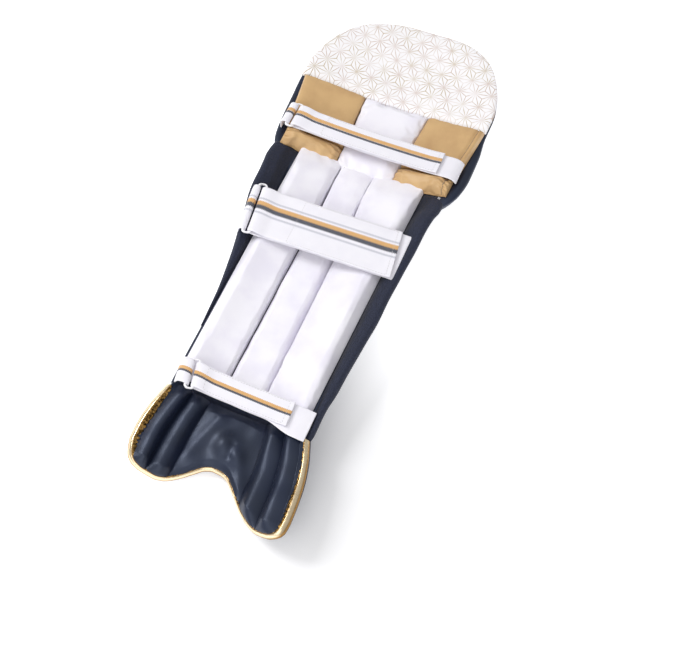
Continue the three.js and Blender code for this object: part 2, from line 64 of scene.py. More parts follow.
# Lining surface: place along the pad, height on the centre line, radius of the trough
SECTIONS = np.array([
    (TOE_END, 12, 170), (-300, 12, 160), (-240, 20, 145), (-100, 22, 160), (50, 24, 175),
    (100, 27, 225), (160, 30, 330), (222, 36, 450), (290, 47, 480), (DOME_TOP, 60, 500),
], float)

# Outline of the front body: place along the pad, reach to the left, reach to the right
OUTLINE = np.array([
    (SHIN_LOW, 78.5, 82), (-100, 80.5, 80), (50, 83, 82), (SHIN_HIGH, 85, 85), (95, 93, 106),
    (106, 108, 118), (122, 115.5, 125), (150, 120.5, 129), (190, 124.5, 129.3), (222, 126.5, 127),
    (250, 125.5, 128), (280, 117.5, 123), (305, 105, 113), (328, 85.5, 97), (343, 58, 76), (351, 31, 53),
    (DOME_TOP, 6, 27),
], float)

# Thickness of the front body: place along the pad, in the middle, at the rim
BODY = np.array([
    (SHIN_LOW, 23.5, 9), (-100, 26, 10), (50, 28, 10), (100, 31, 11), (160, 34, 12), (222, 37, 10),
    (250, 28, 8), (290, 21, 7), (DOME_TOP, 11, 6),
], float)

# Edges across the lining: place at both sides, and how far the middle arches up
EDGES = {"ankle": (-227.5, 0), "roll": (112.5, 12), "knee": (138, 9), "dome": (224, 7)}
EDGE_HALF = 126.5
PAD_EDGE = 0.9
END_FLAT = 15
END_RISE = 80

# Side flaps: place along the shin, reach, lean of the wall and of the outer band in degrees; above the shin
# the root runs straight on to the knee rolls
WING_RIGHT = np.array([
    (-246, 6, 56, 40), (-236, 9, 56, 40), (-200, 11, 58, 34), (-186, 14, 60, 30), (-150, 20.5, 60, 28),
    (-93, 28, 60, 26), (-40, 31.5, 60, 26), (20, 34.5, 60, 26), (70, 36.5, 58, 26), (92, 34, 42, 20),
    (111, 29, 24, 10),
], float)
WING_LEFT = np.array([
    (-160, 2, 56, 44), (-95, 6.5, 56, 44), (-52, 14, 56, 44), (-11, 23.5, 56, 44), (45, 33, 54, 42),
    (75, 33, 48, 36), (96, 31.5, 36, 24), (112, 29, 26, 14),
], float)
WING_THIN = 1
WING_THICKEN = 0.6
WING_THICK = 10
WING_BITE = 0.8

# Instep flap: sides by place, toe edge from the left side (-1) to the right side (1), valleys between ribs
INSTEP_SIDES = np.array([
    (TOE_END, 85, 102), (-325, 85, 101), (-295, 86, 98), (-270, 83, 93), (-255, 80, 88.5), (SHIN_LOW, 77, 83),
], float)
TOE_EDGE = np.array([
    (-1, -311), (-0.97, -320.5), (-0.93, -327.5), (-0.86, -332), (-0.75, -334), (-0.6, -334.2), (-0.5, -332),
    (-0.42, -328), (-0.31, -320), (-0.2, -310.5), (-0.09, -302), (0.02, -299), (0.1, -299.5),
    (0.19, -302.5), (0.32, -314.5), (0.5, -333.5), (0.62, -343), (0.74, -349), (0.86, TOE_END),
    (0.94, -348.5), (0.985, -343), (1, -333),
], float)
VALLEYS = np.array([-0.93, -0.72, -0.44, 0.44, 0.72, 0.945])
RIB_HEIGHT = 9
INSTEP_EDGE = 3.5
BINDING_DROP = 1.5
BINDING_OUT = 2.6
BINDING_HALF = 3.4
FLAP_GROW = 2.6

# Straps: middle and width along Y and drift across, ring with its overhang at each end and its shift along Y,
# levels, ends of both layers, the row of stitches far from the free end, and how far the sewn end flares
STRAPS = {
    "knee": dict(y=149.6, width=33, drift=0, ring_x=-103.5, turn=0, overhang=3.8, ring_shift=0, ring_z=65.6,
                 middle_z=60, side_x=110, side_z=64.6, free_end=94, free_skew=0, far_row=-60,
                 sewn=[(112, 64), (116.5, 61.2), (119, 57.5)],
                 anchor=[(-112.6, 69), (-115, 66), (-115.6, 53)]),
    "calf": dict(y=0.8, width=65.5, drift=0.035, ring_x=-88.5, turn=0.145, overhang=5.4, ring_shift=1.4,
                 ring_z=64, middle_z=61.2, side_x=92, side_z=61.2, free_end=92.5, free_skew=-0.14,
                 far_row=-33, sewn=[(94.5, 61.1), (99.8, 60.6)],
                 anchor=[(-95.2, 67.4), (-98.4, 65), (-99.8, 61.4), (-100, 56.4)]),
    "ankle": dict(y=-226.3, width=29.5, drift=-0.015, ring_x=-58.3, turn=0.22, overhang=4.6, ring_shift=0,
                  ring_z=55.5, middle_z=51.2, side_x=71, side_z=52.5, free_end=61.5, free_skew=-0.05,
                  far_row=-41, flare=7, sewn=[(75, 52.4), (80.5, 51.4), (85.5, 51.1)],
                  anchor=[(-69.6, 58.9), (-74.4, 55.2), (-77.6, 47.4)]),
}
RING_BAR = 3
RING_SLOT = 7
RING_THICK = 3
RING_END = 1.8
RING_TRIM = 0.8
RING_CORNER = 5
SLOT_CORNER = 2
BAR_OFFSET = (RING_SLOT + RING_BAR) / 2
FOLD_REACH = RING_BAR / 2 + WEBBING / 2 + 1.2
FOLD_RADIUS = RING_THICK / 2 + WEBBING / 2 + 0.9
FOLD_RUN = 4
RISE_RUN = 18
SLANT_RUN = 56
TAB_UNDER = 2

# Unevenness of the covers: height or share, length of its waves, seed
SOFTNESS = {
    "dome": (0.5, 60, 11), "dome seam": (0.35, 14, 12), "cloth waves": (0.55, 46, 21),
    "cloth puckers": (0.5, 17, 22), "cloth hems": (0.7, 19, 23), "leather": (0.35, 40, 24),
    "leather hems": (0.4, 13, 25), "roll wrinkles": (0.5, 7, 26), "lap": (0.12, 15, 27),
    "flap": (0.8, 70, 31), "instep": (0.35, 28, 41), "binding": (0.4, 5, 51),
}

# Where the design frame lies in the frame of the solids
METRE = 1000
SHELL_MIDDLE_Y = (SHIN_LOW + DOME_TOP) / 2
shell_low, shell_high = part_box("front_shell")
ring_low, ring_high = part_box("knee_ring")
SHIFT = np.array([
    (ring_low.x + ring_high.x) / 2 * METRE - STRAPS["knee"]["ring_x"],
    (shell_low.y + shell_high.y) / 2 * METRE - SHELL_MIDDLE_Y,
    0,
])


# Tables, waves and grids
def value_at(table, place, column=1):
    """Smooth table value: on each span a cubic, its end slopes the harmonic means of neighbouring steps."""
    keys = table[:, 0]
    values = table[:, column]
    spans = np.diff(keys)
    steep = np.diff(values) / spans
    product = steep[:-1] * steep[1:]
    turning = product <= 0
    joined = np.where(turning, 0, 2 * product / np.where(turning, 1, steep[:-1] + steep[1:]))
    slopes = np.concatenate([steep[:1], joined, steep[-1:]])
    k = np.clip(np.searchsorted(keys, place) - 1, 0, len(spans) - 1)
    t = np.clip((place - keys[k]) / spans[k], 0, 1)
    rest = 1 - t
    low = values[k] * (1 + 2 * t) * rest ** 2 + slopes[k] * spans[k] * t * rest ** 2
    high = values[k + 1] * (3 - 2 * t) * t ** 2 - slopes[k + 1] * spans[k] * t ** 2 * rest
    return low + high


def lerp(low, high, share):
    """Straight mix of two values."""
    return low + (high - low) * share


def smoothstep(value, low, high):
    """0 below low, 1 above high, and 3 t squared less 2 t cubed between them."""
    t = np.clip((value - low) / (high - low), 0, 1)
    return t * t * (3 - 2 * t)


def bell(distance, width):
    """Bell curve: e to the minus square of the distance over the width."""
    return np.exp(-(distance / width) ** 2)


def unevenness(x, y, length, seed, waves=7):
    """Smooth unevenness between about -1 and 1: a sum of sine waves of like length in seeded directions."""
    random = np.random.default_rng(seed)
    total = np.zeros(np.broadcast(x, y).shape)
    for turn, phase, share in random.uniform(0, 1, (waves, 3)):
        angle = 2 * np.pi * turn
        wave = length * lerp(0.7, 1.6, share)
        total += np.sin(2 * np.pi * ((x * np.cos(angle) + y * np.sin(angle)) / wave + phase))
    return total / np.sqrt(waves)


def softness(cover, x, y=0):
    """Unevenness of a kind of cover, as its row in the table gives it."""
    height, length, seed = SOFTNESS[cover]
    return height * unevenness(x, y, length, seed)


def unit(vectors):
    """Vectors of the same directions and of length one."""
    return vectors / np.linalg.norm(vectors, axis=-1, keepdims=True)


def lengths(points):
    """Length along a polyline up to each of its points."""
    runs = np.linalg.norm(np.diff(points, axis=0), axis=1)
    return np.concatenate([[0], np.cumsum(runs)])


def read_at(points, length, places):
    """Points of a polyline at places along it, on straight runs between its own points."""
    return np.stack([np.interp(places, length, column) for column in points.T], -1)


def along_path(points, step):
    """Even steps along a polyline, and their places along it."""
    length = lengths(points)
    places = np.linspace(0, length[-1], int(length[-1] / step) + 1)
    return read_at(points, length, places), places


def eased(count):
    """Steps from 0 to 1, closer together at both ends: half of one minus the cosine."""
    return (1 - np.cos(np.linspace(0, np.pi, count))) / 2


def grid(along, across):
    """Two parameter arrays, the first constant along each row and the second along each column."""
    return np.meshgrid(along, across, indexing="ij")


def crown(t, square):
    """Superellipse arch: 0 at both ends, 1 in the middle, squarer for a higher power."""
    return (1 - np.abs(2 * t - 1) ** square) ** (1 / square)


def trough_angle(x, y):
    """Angle of the lining at a distance across: the arc sine of that distance over the radius."""
    return np.arcsin(np.clip(x / value_at(SECTIONS, y, 2), -1, 1))


def on_lining(x, y, lift):
    """Point of the trough at x and y, moved by lift towards the axis of its circular section."""
    x, y, lift = np.broadcast_arrays(x, y, lift)
    radius = value_at(SECTIONS, y, 2)
    angle = trough_angle(x, y)
    reach = radius - lift
    height = value_at(SECTIONS, y, 1) + radius - reach * np.cos(angle)
    return np.stack([reach * np.sin(angle), y, height], -1)


def across_body(share, y, spare=0):
    """Distance across at a share of the front body's width, -1 at its left rim and 1 at its right."""
    return share * (np.where(share < 0, value_at(OUTLINE, y, 1), value_at(OUTLINE, y, 2)) + spare)


def edge_at(name, x):
    """Place of an edge between pads: a parabola that arches up in the middle."""
    place, arch = EDGES[name]
    return place + arch * (1 - (x / EDGE_HALF) ** 2)


# Meshes
def quads_of_grid(rows, columns):
    """Corner numbers of each cell of a grid of points, anticlockwise with rows upwards."""
    corner = np.arange(rows * columns).reshape(rows, columns)
    cells = [corner[:-1, :-1], corner[:-1, 1:], corner[1:, 1:], corner[1:, :-1]]
    return np.stack(cells, -1).reshape(-1, 4)


def slab(upper, lower):
    """Closed slab: the upper grid, the lower grid turned over, and a strip round the rim between them."""
    rows, columns = upper.shape[:2]
    corner = np.arange(rows * columns).reshape(rows, columns)
    top = quads_of_grid(rows, columns)
    below = rows * columns
    rim = np.concatenate([corner[0, :-1], corner[:-1, -1], corner[-1, :0:-1], corner[:0:-1, 0]])
    after = np.roll(rim, -1)
    side = np.stack([below + rim, below + after, after, rim], -1)
    points = np.concatenate([upper.reshape(-1, 3), lower.reshape(-1, 3)])
    return points, np.concatenate([top, below + top[:, ::-1], side])


def rod(rings, ends=True):
    """Closed rod through rings of an even number of points, each end closed by strips across the ring."""
    count, around = rings.shape[:2]
    corner = np.arange(count * around).reshape(count, around)
    after = np.roll(corner, -1, 1)
    walls = np.stack([corner[:-1], after[:-1], after[1:], corner[1:]], -1).reshape(-1, 4)
    if not ends:
        closing = np.stack([corner[-1], after[-1], after[0], corner[0]], -1)
        return rings.reshape(-1, 3), np.concatenate([walls, closing])
    j = np.arange(around // 2 - 1)
    strip = np.stack([j, around - 1 - j, around - 2 - j, j + 1], -1)
    last = (count - 1) * around
    return rings.reshape(-1, 3), np.concatenate([walls, strip, last + strip[:, ::-1]])


def together(shapes):
    """Several shapes as one: points in a row, faces renumbered."""
    points = []
    quads = []
    total = 0
    for some, faces in shapes:
        points.append(some)
        quads.append(faces + total)
        total += len(some)
    return np.concatenate(points), np.concatenate(quads)


def add_piece(name, shape, slot, replaces=None, flat=None, outer=None, finish=None):
    """Puts points in millimetres and faces into a mesh in metres, with the finish of its slot unless another
    is given, and ties it to the frame."""
    points, quads = shape
    mesh = bpy.data.meshes.new(name)
    mesh.from_pydata(((points + SHIFT) / METRE).tolist(), [], quads.tolist(), shade_flat=False)
    if flat is not None:
        layer = mesh.uv_layers.new(name="flat")
        layer.data.foreach_set("uv", flat[quads.ravel()].astype(np.float32).ravel())
    if outer is not None:
        side = mesh.attributes.new("outer", "FLOAT", "POINT")
        side.data.foreach_set("value", outer.astype(np.float32))
    mesh.materials.append(FINISHES[slot] if finish is None else finish)
    piece = bpy.data.objects.new(name, mesh)
    bpy.context.scene.collection.objects.link(piece)
    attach(piece, "root")
    if replaces:
        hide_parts(replaces)
    return piece


# Materials
WEAVE_TURN = 6
WEAVE_SHARE = 0.35
WEAVE_FUZZ = 1.1

# Lattice print: height of a triangle, half a line's width, where the line has faded
LATTICE_HEIGHT = 18.5
LATTICE_LINE = 0.22
LATTICE_FADED = 0.528

# Webbing: pitch of its ribs and of its fine ridges, and how the edges of the stripes waver
WEBBING_RIB = 1.5
WEBBING_RIDGE = 0.9
STRIPE_WAVER = 0.012
STRIPE_TURN = 3.1


def linear(code):
    """Linear colour of a hexadecimal screen colour."""
    screen = np.array([int(code[k:k + 2], 16) for k in (1, 3, 5)]) / 255
    light = np.where(screen < 0.04045, screen / 12.92, ((screen + 0.055) / 1.055) ** 2.4)
    return (*light.tolist(), 1.0)


class Shade:
    """A value in a material's node tree: arithmetic on it adds Math nodes."""

    def __init__(self, tree, socket):
        self.tree = tree
        self.socket = socket

    def math(self, operation, *values):
        """A Math node of an operation on some values."""
        node = self.tree.nodes.new("ShaderNodeMath")
        node.operation = operation
        for place, value in zip(node.inputs, values):
            join(self.tree, place, value)
        return Shade(self.tree, node.outputs[0])

    def __rsub__(self, other):
        return self.math("SUBTRACT", other, self)


MATH_METHODS = {
    "__add__": "ADD", "__radd__": "ADD", "__sub__": "SUBTRACT", "__mul__": "MULTIPLY", "__rmul__": "MULTIPLY",
    "__truediv__": "DIVIDE", "__pow__": "POWER", "__lt__": "LESS_THAN", "__gt__": "GREATER_THAN",
    "__abs__": "ABSOLUTE", "sine": "SINE", "fraction": "FRACT", "least": "MINIMUM", "most": "MAXIMUM",
}


def math_method(operation):
    """Method of a shade: an operation on it and on another value, if there is one."""
    return lambda shade, *other: shade.math(operation, shade, *other)


for method, operation in MATH_METHODS.items():
    setattr(Shade, method, math_method(operation))


def join(tree, place, value):
    """Links a shade to a socket, or sets the socket's own value; text is a screen colour."""
    if isinstance(value, Shade):
        tree.links.new(value.socket, place)
    else:
        place.default_value = linear(value) if isinstance(value, str) else value


class Finish:
    """A material under construction: its node tree and its main shader."""

    def __init__(self, name, **settings):
        self.material = bpy.data.materials.new(name)
        self.material.use_nodes = True
        self.tree = self.material.node_tree
        self.shader = self.tree.nodes["Principled BSDF"]
        for socket, value in settings.items():
            self.feed(socket.replace("_", " ").title().replace("Ior", "IOR"), value)

    def feed(self, socket, value):
        """Gives a value to a socket of the main shader."""
        join(self.tree, self.shader.inputs[socket], value)

    def node(self, kind, settings=None, inputs=None, output=0):
        """A node of a kind: its settings first, then its sockets' values or links; one output comes back."""
        made = self.tree.nodes.new(kind)
        for name, value in (settings or {}).items():
            setattr(made, name, value)
        for name, value in (inputs or {}).items():
            join(self.tree, made.inputs[name], value)
        return Shade(self.tree, made.outputs[output])

    def place(self):
        """Object coordinates, in metres."""
        return self.node("ShaderNodeTexCoord", output="Object")

    def across(self, vector):
        """The first two components of a vector."""
        return [self.node("ShaderNodeSeparateXYZ", inputs={"Vector": vector}, output=k) for k in range(2)]

    def flat(self):
        """The two values of a piece's own map."""
        return self.across(self.node("ShaderNodeUVMap", {"uv_map": "flat"}))

    def noise(self, size, detail=2, rough=0.5):
        """Cloudy noise between 0 and 1 with features of a size in millimetres."""
        inputs = {"Vector": self.place(), "Scale": METRE / size, "Detail": detail, "Roughness": rough}
        return self.node("ShaderNodeTexNoise", inputs=inputs)

    def cells(self, size):
        """Distance to the nearest of scattered points that lie about a size in millimetres apart."""
        return self.node("ShaderNodeTexVoronoi", inputs={"Vector": self.place(), "Scale": METRE / size})

    def blend(self, share, low, high):
        """Mix of two colours."""
        settings = {"data_type": "RGBA", "clamp_factor": True}
        return self.node("ShaderNodeMix", settings, {0: share, 6: low, 7: high}, output=2)

    def between(self, value, low, high):
        """0 to 1 as a value goes from low to high, smoothly."""
        inputs = {"Value": value, 1: low, 2: high}
        return self.node("ShaderNodeMapRange", {"interpolation_type": "SMOOTHSTEP"}, inputs)

    def clouds(self, size, detail, low, high, colours):
        """Base colour that drifts between two colours, in clouds of a size in millimetres."""
        share = self.between(self.noise(size, detail), low, high)
        self.feed("Base Color", self.blend(share, *colours))

    def raise_by(self, height, depth):
        """Feeds a height between 0 and 1 as relief of a depth in millimetres."""
        inputs = {"Height": height, "Distance": depth / METRE, "Strength": 1.0}
        self.feed("Normal", self.node("ShaderNodeBump", inputs=inputs))

    def weave(self, x, y, depth):
        """Relief of woven cloth: crossed sine waves over two lengths in millimetres, and fine noise."""
        crossed = (x * WEAVE_TURN).sine() * (y * WEAVE_TURN).sine()
        self.raise_by(crossed * WEAVE_SHARE + self.noise(WEAVE_FUZZ), depth)


def white_cloth():
    """Brushed white cloth: fine cross weave, faint lavender clouds."""
    finish = Finish("white_cloth", roughness=0.8, sheen_weight=0.25, sheen_roughness=0.5)
    finish.clouds(size=38, detail=3, low=0.35, high=0.7, colours=("#f4f2f9", "#ebe8f3"))
    x, y = finish.across(finish.place())
    finish.weave(x * METRE, y * METRE, depth=0.12)
    return finish.material


def printed_cloth():
    """White cloth printed with a hemp-leaf lattice: on a net of triangles, each side and each line from a
    corner to the middle of its triangle is a thin line. The shares of a point within its triangle give the
    distances."""
    finish = Finish("printed_cloth", roughness=0.75, sheen_weight=0.1, sheen_roughness=0.5)
    u, v = finish.flat()
    turns = np.radians((90, -30, 210))
    ways = [(np.cos(turn) / LATTICE_HEIGHT, np.sin(turn) / LATTICE_HEIGHT) for turn in turns]
    first, second, third = ((u * over + v * up).fraction() for over, up in ways)
    turned = (first + second + third) > 1.5
    shares = [share + turned - 2 * turned * share for share in (first, second, third)]
    least = shares[0].least(shares[1]).least(shares[2])
    most = shares[0].most(shares[1]).most(shares[2])
    middle = 1 - least - most
    side = finish.between(least * LATTICE_HEIGHT, LATTICE_LINE, LATTICE_FADED)
    spoke = finish.between((middle - least) * (LATTICE_HEIGHT / np.sqrt(3)), LATTICE_LINE, LATTICE_FADED)
    ink = finish.blend(finish.between(finish.noise(26, 1), 0.42, 0.58), "#a98f52", "#b89c88")
    clear = 1 - 0.45 * finish.between(most, 0.7, 0.95)
    worn = 0.35 + 0.65 * finish.between(finish.noise(15), 0.3, 0.65)
    strength = (1 - side.least(spoke)) * clear * worn
    finish.feed("Base Color", finish.blend(strength, "#f5f3f5", ink))
    finish.weave(u, v, depth=0.1)
    return finish.material


def tan_leather():
    """Satin tan leather: pebble grain, clouds of a deeper tan."""
    finish = Finish("tan_leather", coat_weight=0.08, coat_roughness=0.3)
    finish.clouds(size=30, detail=4, low=0.3, high=0.75, colours=("#cfab78", "#bf996a"))
    finish.feed("Roughness", 0.4 + 0.2 * finish.noise(5))
    finish.raise_by(finish.cells(1.3) * 0.8 + finish.noise(0.8) * 0.4, depth=0.09)
    return finish.material


def navy_cover():
    """Coated navy cover: smooth, with a fine grain and a soft shine."""
    finish = Finish("navy_cover", specular_ior_level=0.7, specular_tint="#d8e4ff")
    finish.clouds(size=40, detail=3, low=0.3, high=0.7, colours=("#0f172c", "#0b1222"))
    finish.feed("Roughness", 0.38 + 0.1 * finish.noise(7, 3))
    finish.raise_by(finish.cells(1.0) * 0.7 + finish.noise(0.7) * 0.5, depth=0.05)
    return finish.material


def navy_mesh():
    """Navy spacer cloth: rows of small cells, matt, with painted shade that makes the wall darker than the
    outer band.
    """
    finish = Finish("navy_mesh", roughness=0.8, sheen_weight=0.08, sheen_roughness=0.4)
    out = finish.flat()[0]
    netting = finish.between(finish.cells(2.0), 0.25, 0.75)
    # Painted shade and light: dark colours on the wall, which lies in shade, lighter ones on the outer band,
    # where light falls
    wall = finish.blend(netting, "#0c1020", "#12172a")
    band = finish.blend(netting, "#171d31", "#20263c")
    finish.feed("Base Color", finish.blend(finish.between(out, 0.4, 0.62), wall, band))
    finish.raise_by(netting, depth=0.3)
    return finish.material


def gold_binding():
    """Metallic gold binding with painted light and shade: a painted highlight of pale gold along its crest,
    painted shade of deeper gold down its outside, and painted shade of browner gold on the margin, darkest in
    its crinkles."""
    finish = Finish("gold_binding", metallic=1.0)
    round_it = finish.flat()[0]
    margin = finish.between(round_it, 1.05, 1.25)
    crinkles = finish.noise(2.4, 4, 0.65)
    # Painted shade: browner gold on the margin, darker still in the hollows of the crinkles
    shaded_brown = finish.blend(finish.between(crinkles, 0.38, 0.62), "#33220c", "#c49a58")
    # Painted highlight: pale gold along the crest; the deeper gold down the outside is painted shade
    crest = finish.between(round_it, 0.5, 0.72) * (1 - finish.between(round_it, 0.9, 1.05))
    gold = finish.blend(crest * (0.75 + 0.25 * finish.noise(9)), "#96703a", "#f5e2bf")
    finish.feed("Base Color", finish.blend(margin, gold, shaded_brown))
    finish.feed("Roughness", 0.2 + 0.14 * finish.noise(6))
    finish.raise_by(crinkles * (0.1 + 0.9 * margin), depth=0.8)
    return finish.material


def white_plastic():
    """Moulded white plastic: gloss with faint flow clouds and fine scuffs."""
    finish = Finish("white_plastic", coat_weight=0.3, coat_roughness=0.15)
    finish.feed("Base Color", finish.blend(finish.noise(9, 3), "#f8f7f9", "#eeedf2"))
    finish.feed("Roughness", 0.25 + 0.15 * finish.noise(3, 3))
    finish.raise_by(finish.noise(2.2, 3), depth=0.05)
    return finish.material


def thread(name, code):
    """Twisted sewing thread of one colour: fine strands."""
    finish = Finish(name, roughness=0.7, sheen_weight=0.2)
    strands = finish.noise(0.5)
    finish.feed("Base Color", finish.blend(strands, code, "#8d8a86"))
    finish.raise_by(strands, depth=0.15)
    return finish.material


def webbing(name, width, stripes):
    """White ribbed webbing with woven stripes: each stripe is a band between two shares of the width from the
    upper edge, on the outer face alone. Ribs run across and fine ridges along."""
    finish = Finish(name, roughness=0.72, sheen_weight=0.2, sheen_roughness=0.5)
    u, v = finish.flat()
    outer = finish.node("ShaderNodeAttribute", {"attribute_name": "outer"}, output="Fac")
    place = v / width + STRIPE_WAVER * (u * STRIPE_TURN).sine()
    colour = finish.blend(finish.noise(14, 3), "#f5f3f9", "#ebe9f2")
    for start, end, code in stripes:
        inside = (place > start) * (place < end) * (outer > 0.5)
        flecks = finish.between(finish.noise(0.9), 0.2, 0.75)
        colour = finish.blend(inside * (0.82 + 0.18 * flecks), colour, code)
    finish.feed("Base Color", colour)
    ribs = abs((u * (np.pi / WEBBING_RIB)).sine()) * 0.6
    ridges = abs((v * (np.pi / WEBBING_RIDGE)).sine()) * 0.4
    finish.raise_by(ribs + ridges, depth=0.22)
    return finish.material


GOLD_STRIPE = "#d9a458"
NAVY_STRIPE = "#242a3c"
GREY_STRIPE = "#c4c4cf"
STRIPES = {
    "knee": [(0.295, 0.45, GOLD_STRIPE), (0.458, 0.555, NAVY_STRIPE)],
    "calf": [
        (0.25, 0.287, GREY_STRIPE), (0.325, 0.412, GOLD_STRIPE), (0.412, 0.5, NAVY_STRIPE),
        (0.562, 0.6, GREY_STRIPE),
    ],
    "ankle": [(0.37, 0.5, GOLD_STRIPE), (0.5, 0.585, NAVY_STRIPE)],
}
FINISHES = {
    "white_cloth": white_cloth(),
    "printed_cloth": printed_cloth(),
    "tan_leather": tan_leather(),
    "navy_cover": navy_cover(),
    "navy_cloth": navy_mesh(),
    "gold_cover": gold_binding(),
    "white_plastic": white_plastic(),
    "white_thread": thread("white_thread", "#f2f0f5"),
    "dark_thread": thread("dark_thread", "#2a2a33"),
    "tan_thread": thread("tan_thread", "#6d4c26"),
}


# Front body
SHELL_ROWS = 190
SHELL_COLUMNS = 150
CANE_GROOVE = 4
ROLL_GROOVE = 5
GROOVE_SHARP = 0.45


def groove(phase, depth):
    """Sewn channel: deepest at whole numbers of the phase, rising as a power of the sine to a round back."""
    return depth * (1 - np.abs(np.sin(np.pi * phase)) ** GROOVE_SHARP)


def front_body():
    """Body between the lining surface and a padded front: the depth grows from the rim to the middle as one
    minus the cube of the share across, channels cut the front, and quarter ellipses round the rim."""
    y, share = grid(lerp(SHIN_LOW, DOME_TOP, eased(SHELL_ROWS)), 2 * eased(SHELL_COLUMNS) - 1)
    x = across_body(share, y)
    core = value_at(BODY, y, 1)
    rim = value_at(BODY, y, 2)
    near_rim = np.clip((np.abs(share) - RIM_START) / (1 - RIM_START), 0, 1)
    rounded = 1 - np.sqrt(1 - near_rim ** 2)
    deep = rim + (core - rim) * (1 - np.abs(share) ** 3)
    upper = on_lining(x, y, -rounded * rim / 2)
    lower = on_lining(x, y, lerp(-deep, -rim / 2, rounded))
    in_knee = (y >= KNEE_LOW) & (y <= KNEE_HIGH)
    rolls = groove((y - KNEE_LOW) / (KNEE_HIGH - KNEE_LOW) * KNEE_ROLLS, ROLL_GROOVE)
    canes = groove((share + 1) / 2 * CANES, CANE_GROOVE)
    lower[..., 2] = np.maximum(lower[..., 2], 0) + np.where(in_knee, rolls, canes) * (1 - near_rim)
    return slab(upper, lower)


add_piece("front_body", front_body(), "navy_cover", "front_shell")

# Dome lining
HAT_OVERHANG = 0.4
HAT_HEIGHT = 8
HAT_SQUARE = 6
HAT_SEAM = 6
HAT_SEAM_DIP = 0.45
HAT_ROWS = 110
HAT_COLUMNS = 130
HAT_CLOSE = 1.7


def dome_lining():
    """Lining pad that follows the outline of the dome: a low crown across and along, with soft unevenness."""
    steps = 1 - (1 - np.linspace(0, 1, HAT_ROWS)) ** HAT_CLOSE
    along, across = grid(steps, eased(HAT_COLUMNS))
    share = 2 * across - 1
    y = lerp(edge_at("dome", share * EDGE_HALF) + SEAM / 2, DOME_TOP + HAT_OVERHANG, along)
    x = across_body(share, y - HAT_OVERHANG * along, HAT_OVERHANG)
    full = crown(across, HAT_SQUARE) * crown(0.5 + along / 2, HAT_SQUARE)
    seam = bell(y - edge_at("dome", x), HAT_SEAM)
    rise = PAD_EDGE + (HAT_HEIGHT - PAD_EDGE) * full * (1 - HAT_SEAM_DIP * seam)
    soft = softness("dome", x, y) + seam * softness("dome seam", x)
    upper = on_lining(x, y, GAP + rise + soft * full)
    lower = on_lining(x, y, GAP)
    flat = np.stack([x, y], -1).reshape(-1, 2)
    return slab(upper, lower), np.concatenate([flat, flat])


hat_shape, hat_flat = dome_lining()
add_piece("dome_lining", hat_shape, "printed_cloth", "hat_lining", flat=hat_flat)

# Pads on the lining: edges at both ends, sides at both ends, height, height at the ankle end, squareness, how
# far the lower end laps over its neighbours, and whether the right side has a sewn margin
PADS = [
    dict(name="knee_panel", slot="white_cloth", edges=("roll", "dome"), low=(-34.4, 41.4), high=(-37.4, 49.9),
         height=11.5, square=(5, 5), fill=0.7, lap=7),
    dict(name="knee_pad_left", slot="tan_leather", edges=("knee", "dome"), low=(-112, -35.7),
         high=(-122.5, -38.5), height=12, square=(6, 7), fill=0.9),
    dict(name="knee_pad_right", slot="tan_leather", edges=("knee", "dome"), low=(44.5, 117), high=(51, 126),
         height=11.5, square=(6, 7), fill=0.9, margin=True),
    dict(name="knee_roll_left", slot="tan_leather", edges=("roll", "knee"), low=(-107, -35.2),
         high=(-109, -35.7), height=16, square=(7, 2), fill=1, lap=5),
    dict(name="knee_roll_right", slot="tan_leather", edges=("roll", "knee"), low=(42.2, 115),
         high=(44.5, 115.5), height=15.2, square=(7, 2), fill=1, lap=5, margin=True),
    dict(name="bolster_left", slot="white_cloth", edges=("ankle", "roll"), low=(-77.5, -27.5),
         high=(-82, -26.5), height=16, end_height=12, square=(8, 9), fill=0.8),
    dict(name="bolster_centre", slot="white_cloth", edges=("ankle", "roll"), low=(-26.5, 21.3),
         high=(-25.5, 18.3), height=13, end_height=10.5, square=(8, 9), fill=0.7),
    dict(name="bolster_right", slot="white_cloth", edges=("ankle", "roll"), low=(21.7, 78), high=(18.7, 86),
         height=15.5, end_height=11.5, square=(8, 9), fill=0.8),
]
PAD_ROWS = 64
PAD_COLUMNS = 46
TOP_SINK = 0.5
TOP_RUN = 34

# Sewn margin: its column from the edge, depth and width of its groove
MARGIN_COLUMN = 9
MARGIN_DIP = 2.6
MARGIN_WIDTH = 1.8

# Gathered ends of the rolls: share and run of the dip, run of the wrinkles, their number, height and sway
GATHER_DIP = 0.34
GATHER_DIP_RUN = 6
GATHER_RUN = 14
FAN_FOLDS = 3.6
FAN_HEIGHT = 1.1
FAN_SWAY = 0.5
FAN_SWAY_TURN = 0.11

# Folds of the covers: how much waves and puckers are drawn out, and how far they reach from a seam
WAVE_DRAW = 0.45
PUCKER_DRAW = 0.3
PUCKER_RUN = 8
HEM_RUN = 11
LEATHER_HEM_RUN = 7

# Knots where a roll's cover is gathered and tacked: middle across and along, height, width
KNOTS = [
    (-43, 120, 2.6, 4), (-37, 122, -3.0, 3), (-46, 126, -1.8, 3), (-104, 118, -2.2, 4), (-98, 122, 1.2, 4),
    (52, 121, -2.8, 3), (57, 118, 2.0, 3.5), (60, 124, -1.6, 2.5), (104, 117, -2.4, 4), (98, 121, 1.4, 4),
]


def roll_gathers(x, y, along, side):
    """Gathered ends of a knee roll: the height sinks near each end, wrinkles fan out from there along the
    roll, and small bumps and hollows stand where the cover is tacked."""
    dip = GATHER_DIP * bell(side, GATHER_DIP_RUN)
    fan = np.sin(2 * np.pi * (FAN_FOLDS * along + FAN_SWAY * np.sin(FAN_SWAY_TURN * x)))
    wrinkles = (FAN_HEIGHT * fan + softness("roll wrinkles", x * PUCKER_DRAW, y)) * bell(side, GATHER_RUN)
    knots = sum(height * bell(np.hypot(x - over, y - up), width) for over, up, height, width in KNOTS)
    return -dip, wrinkles + knots


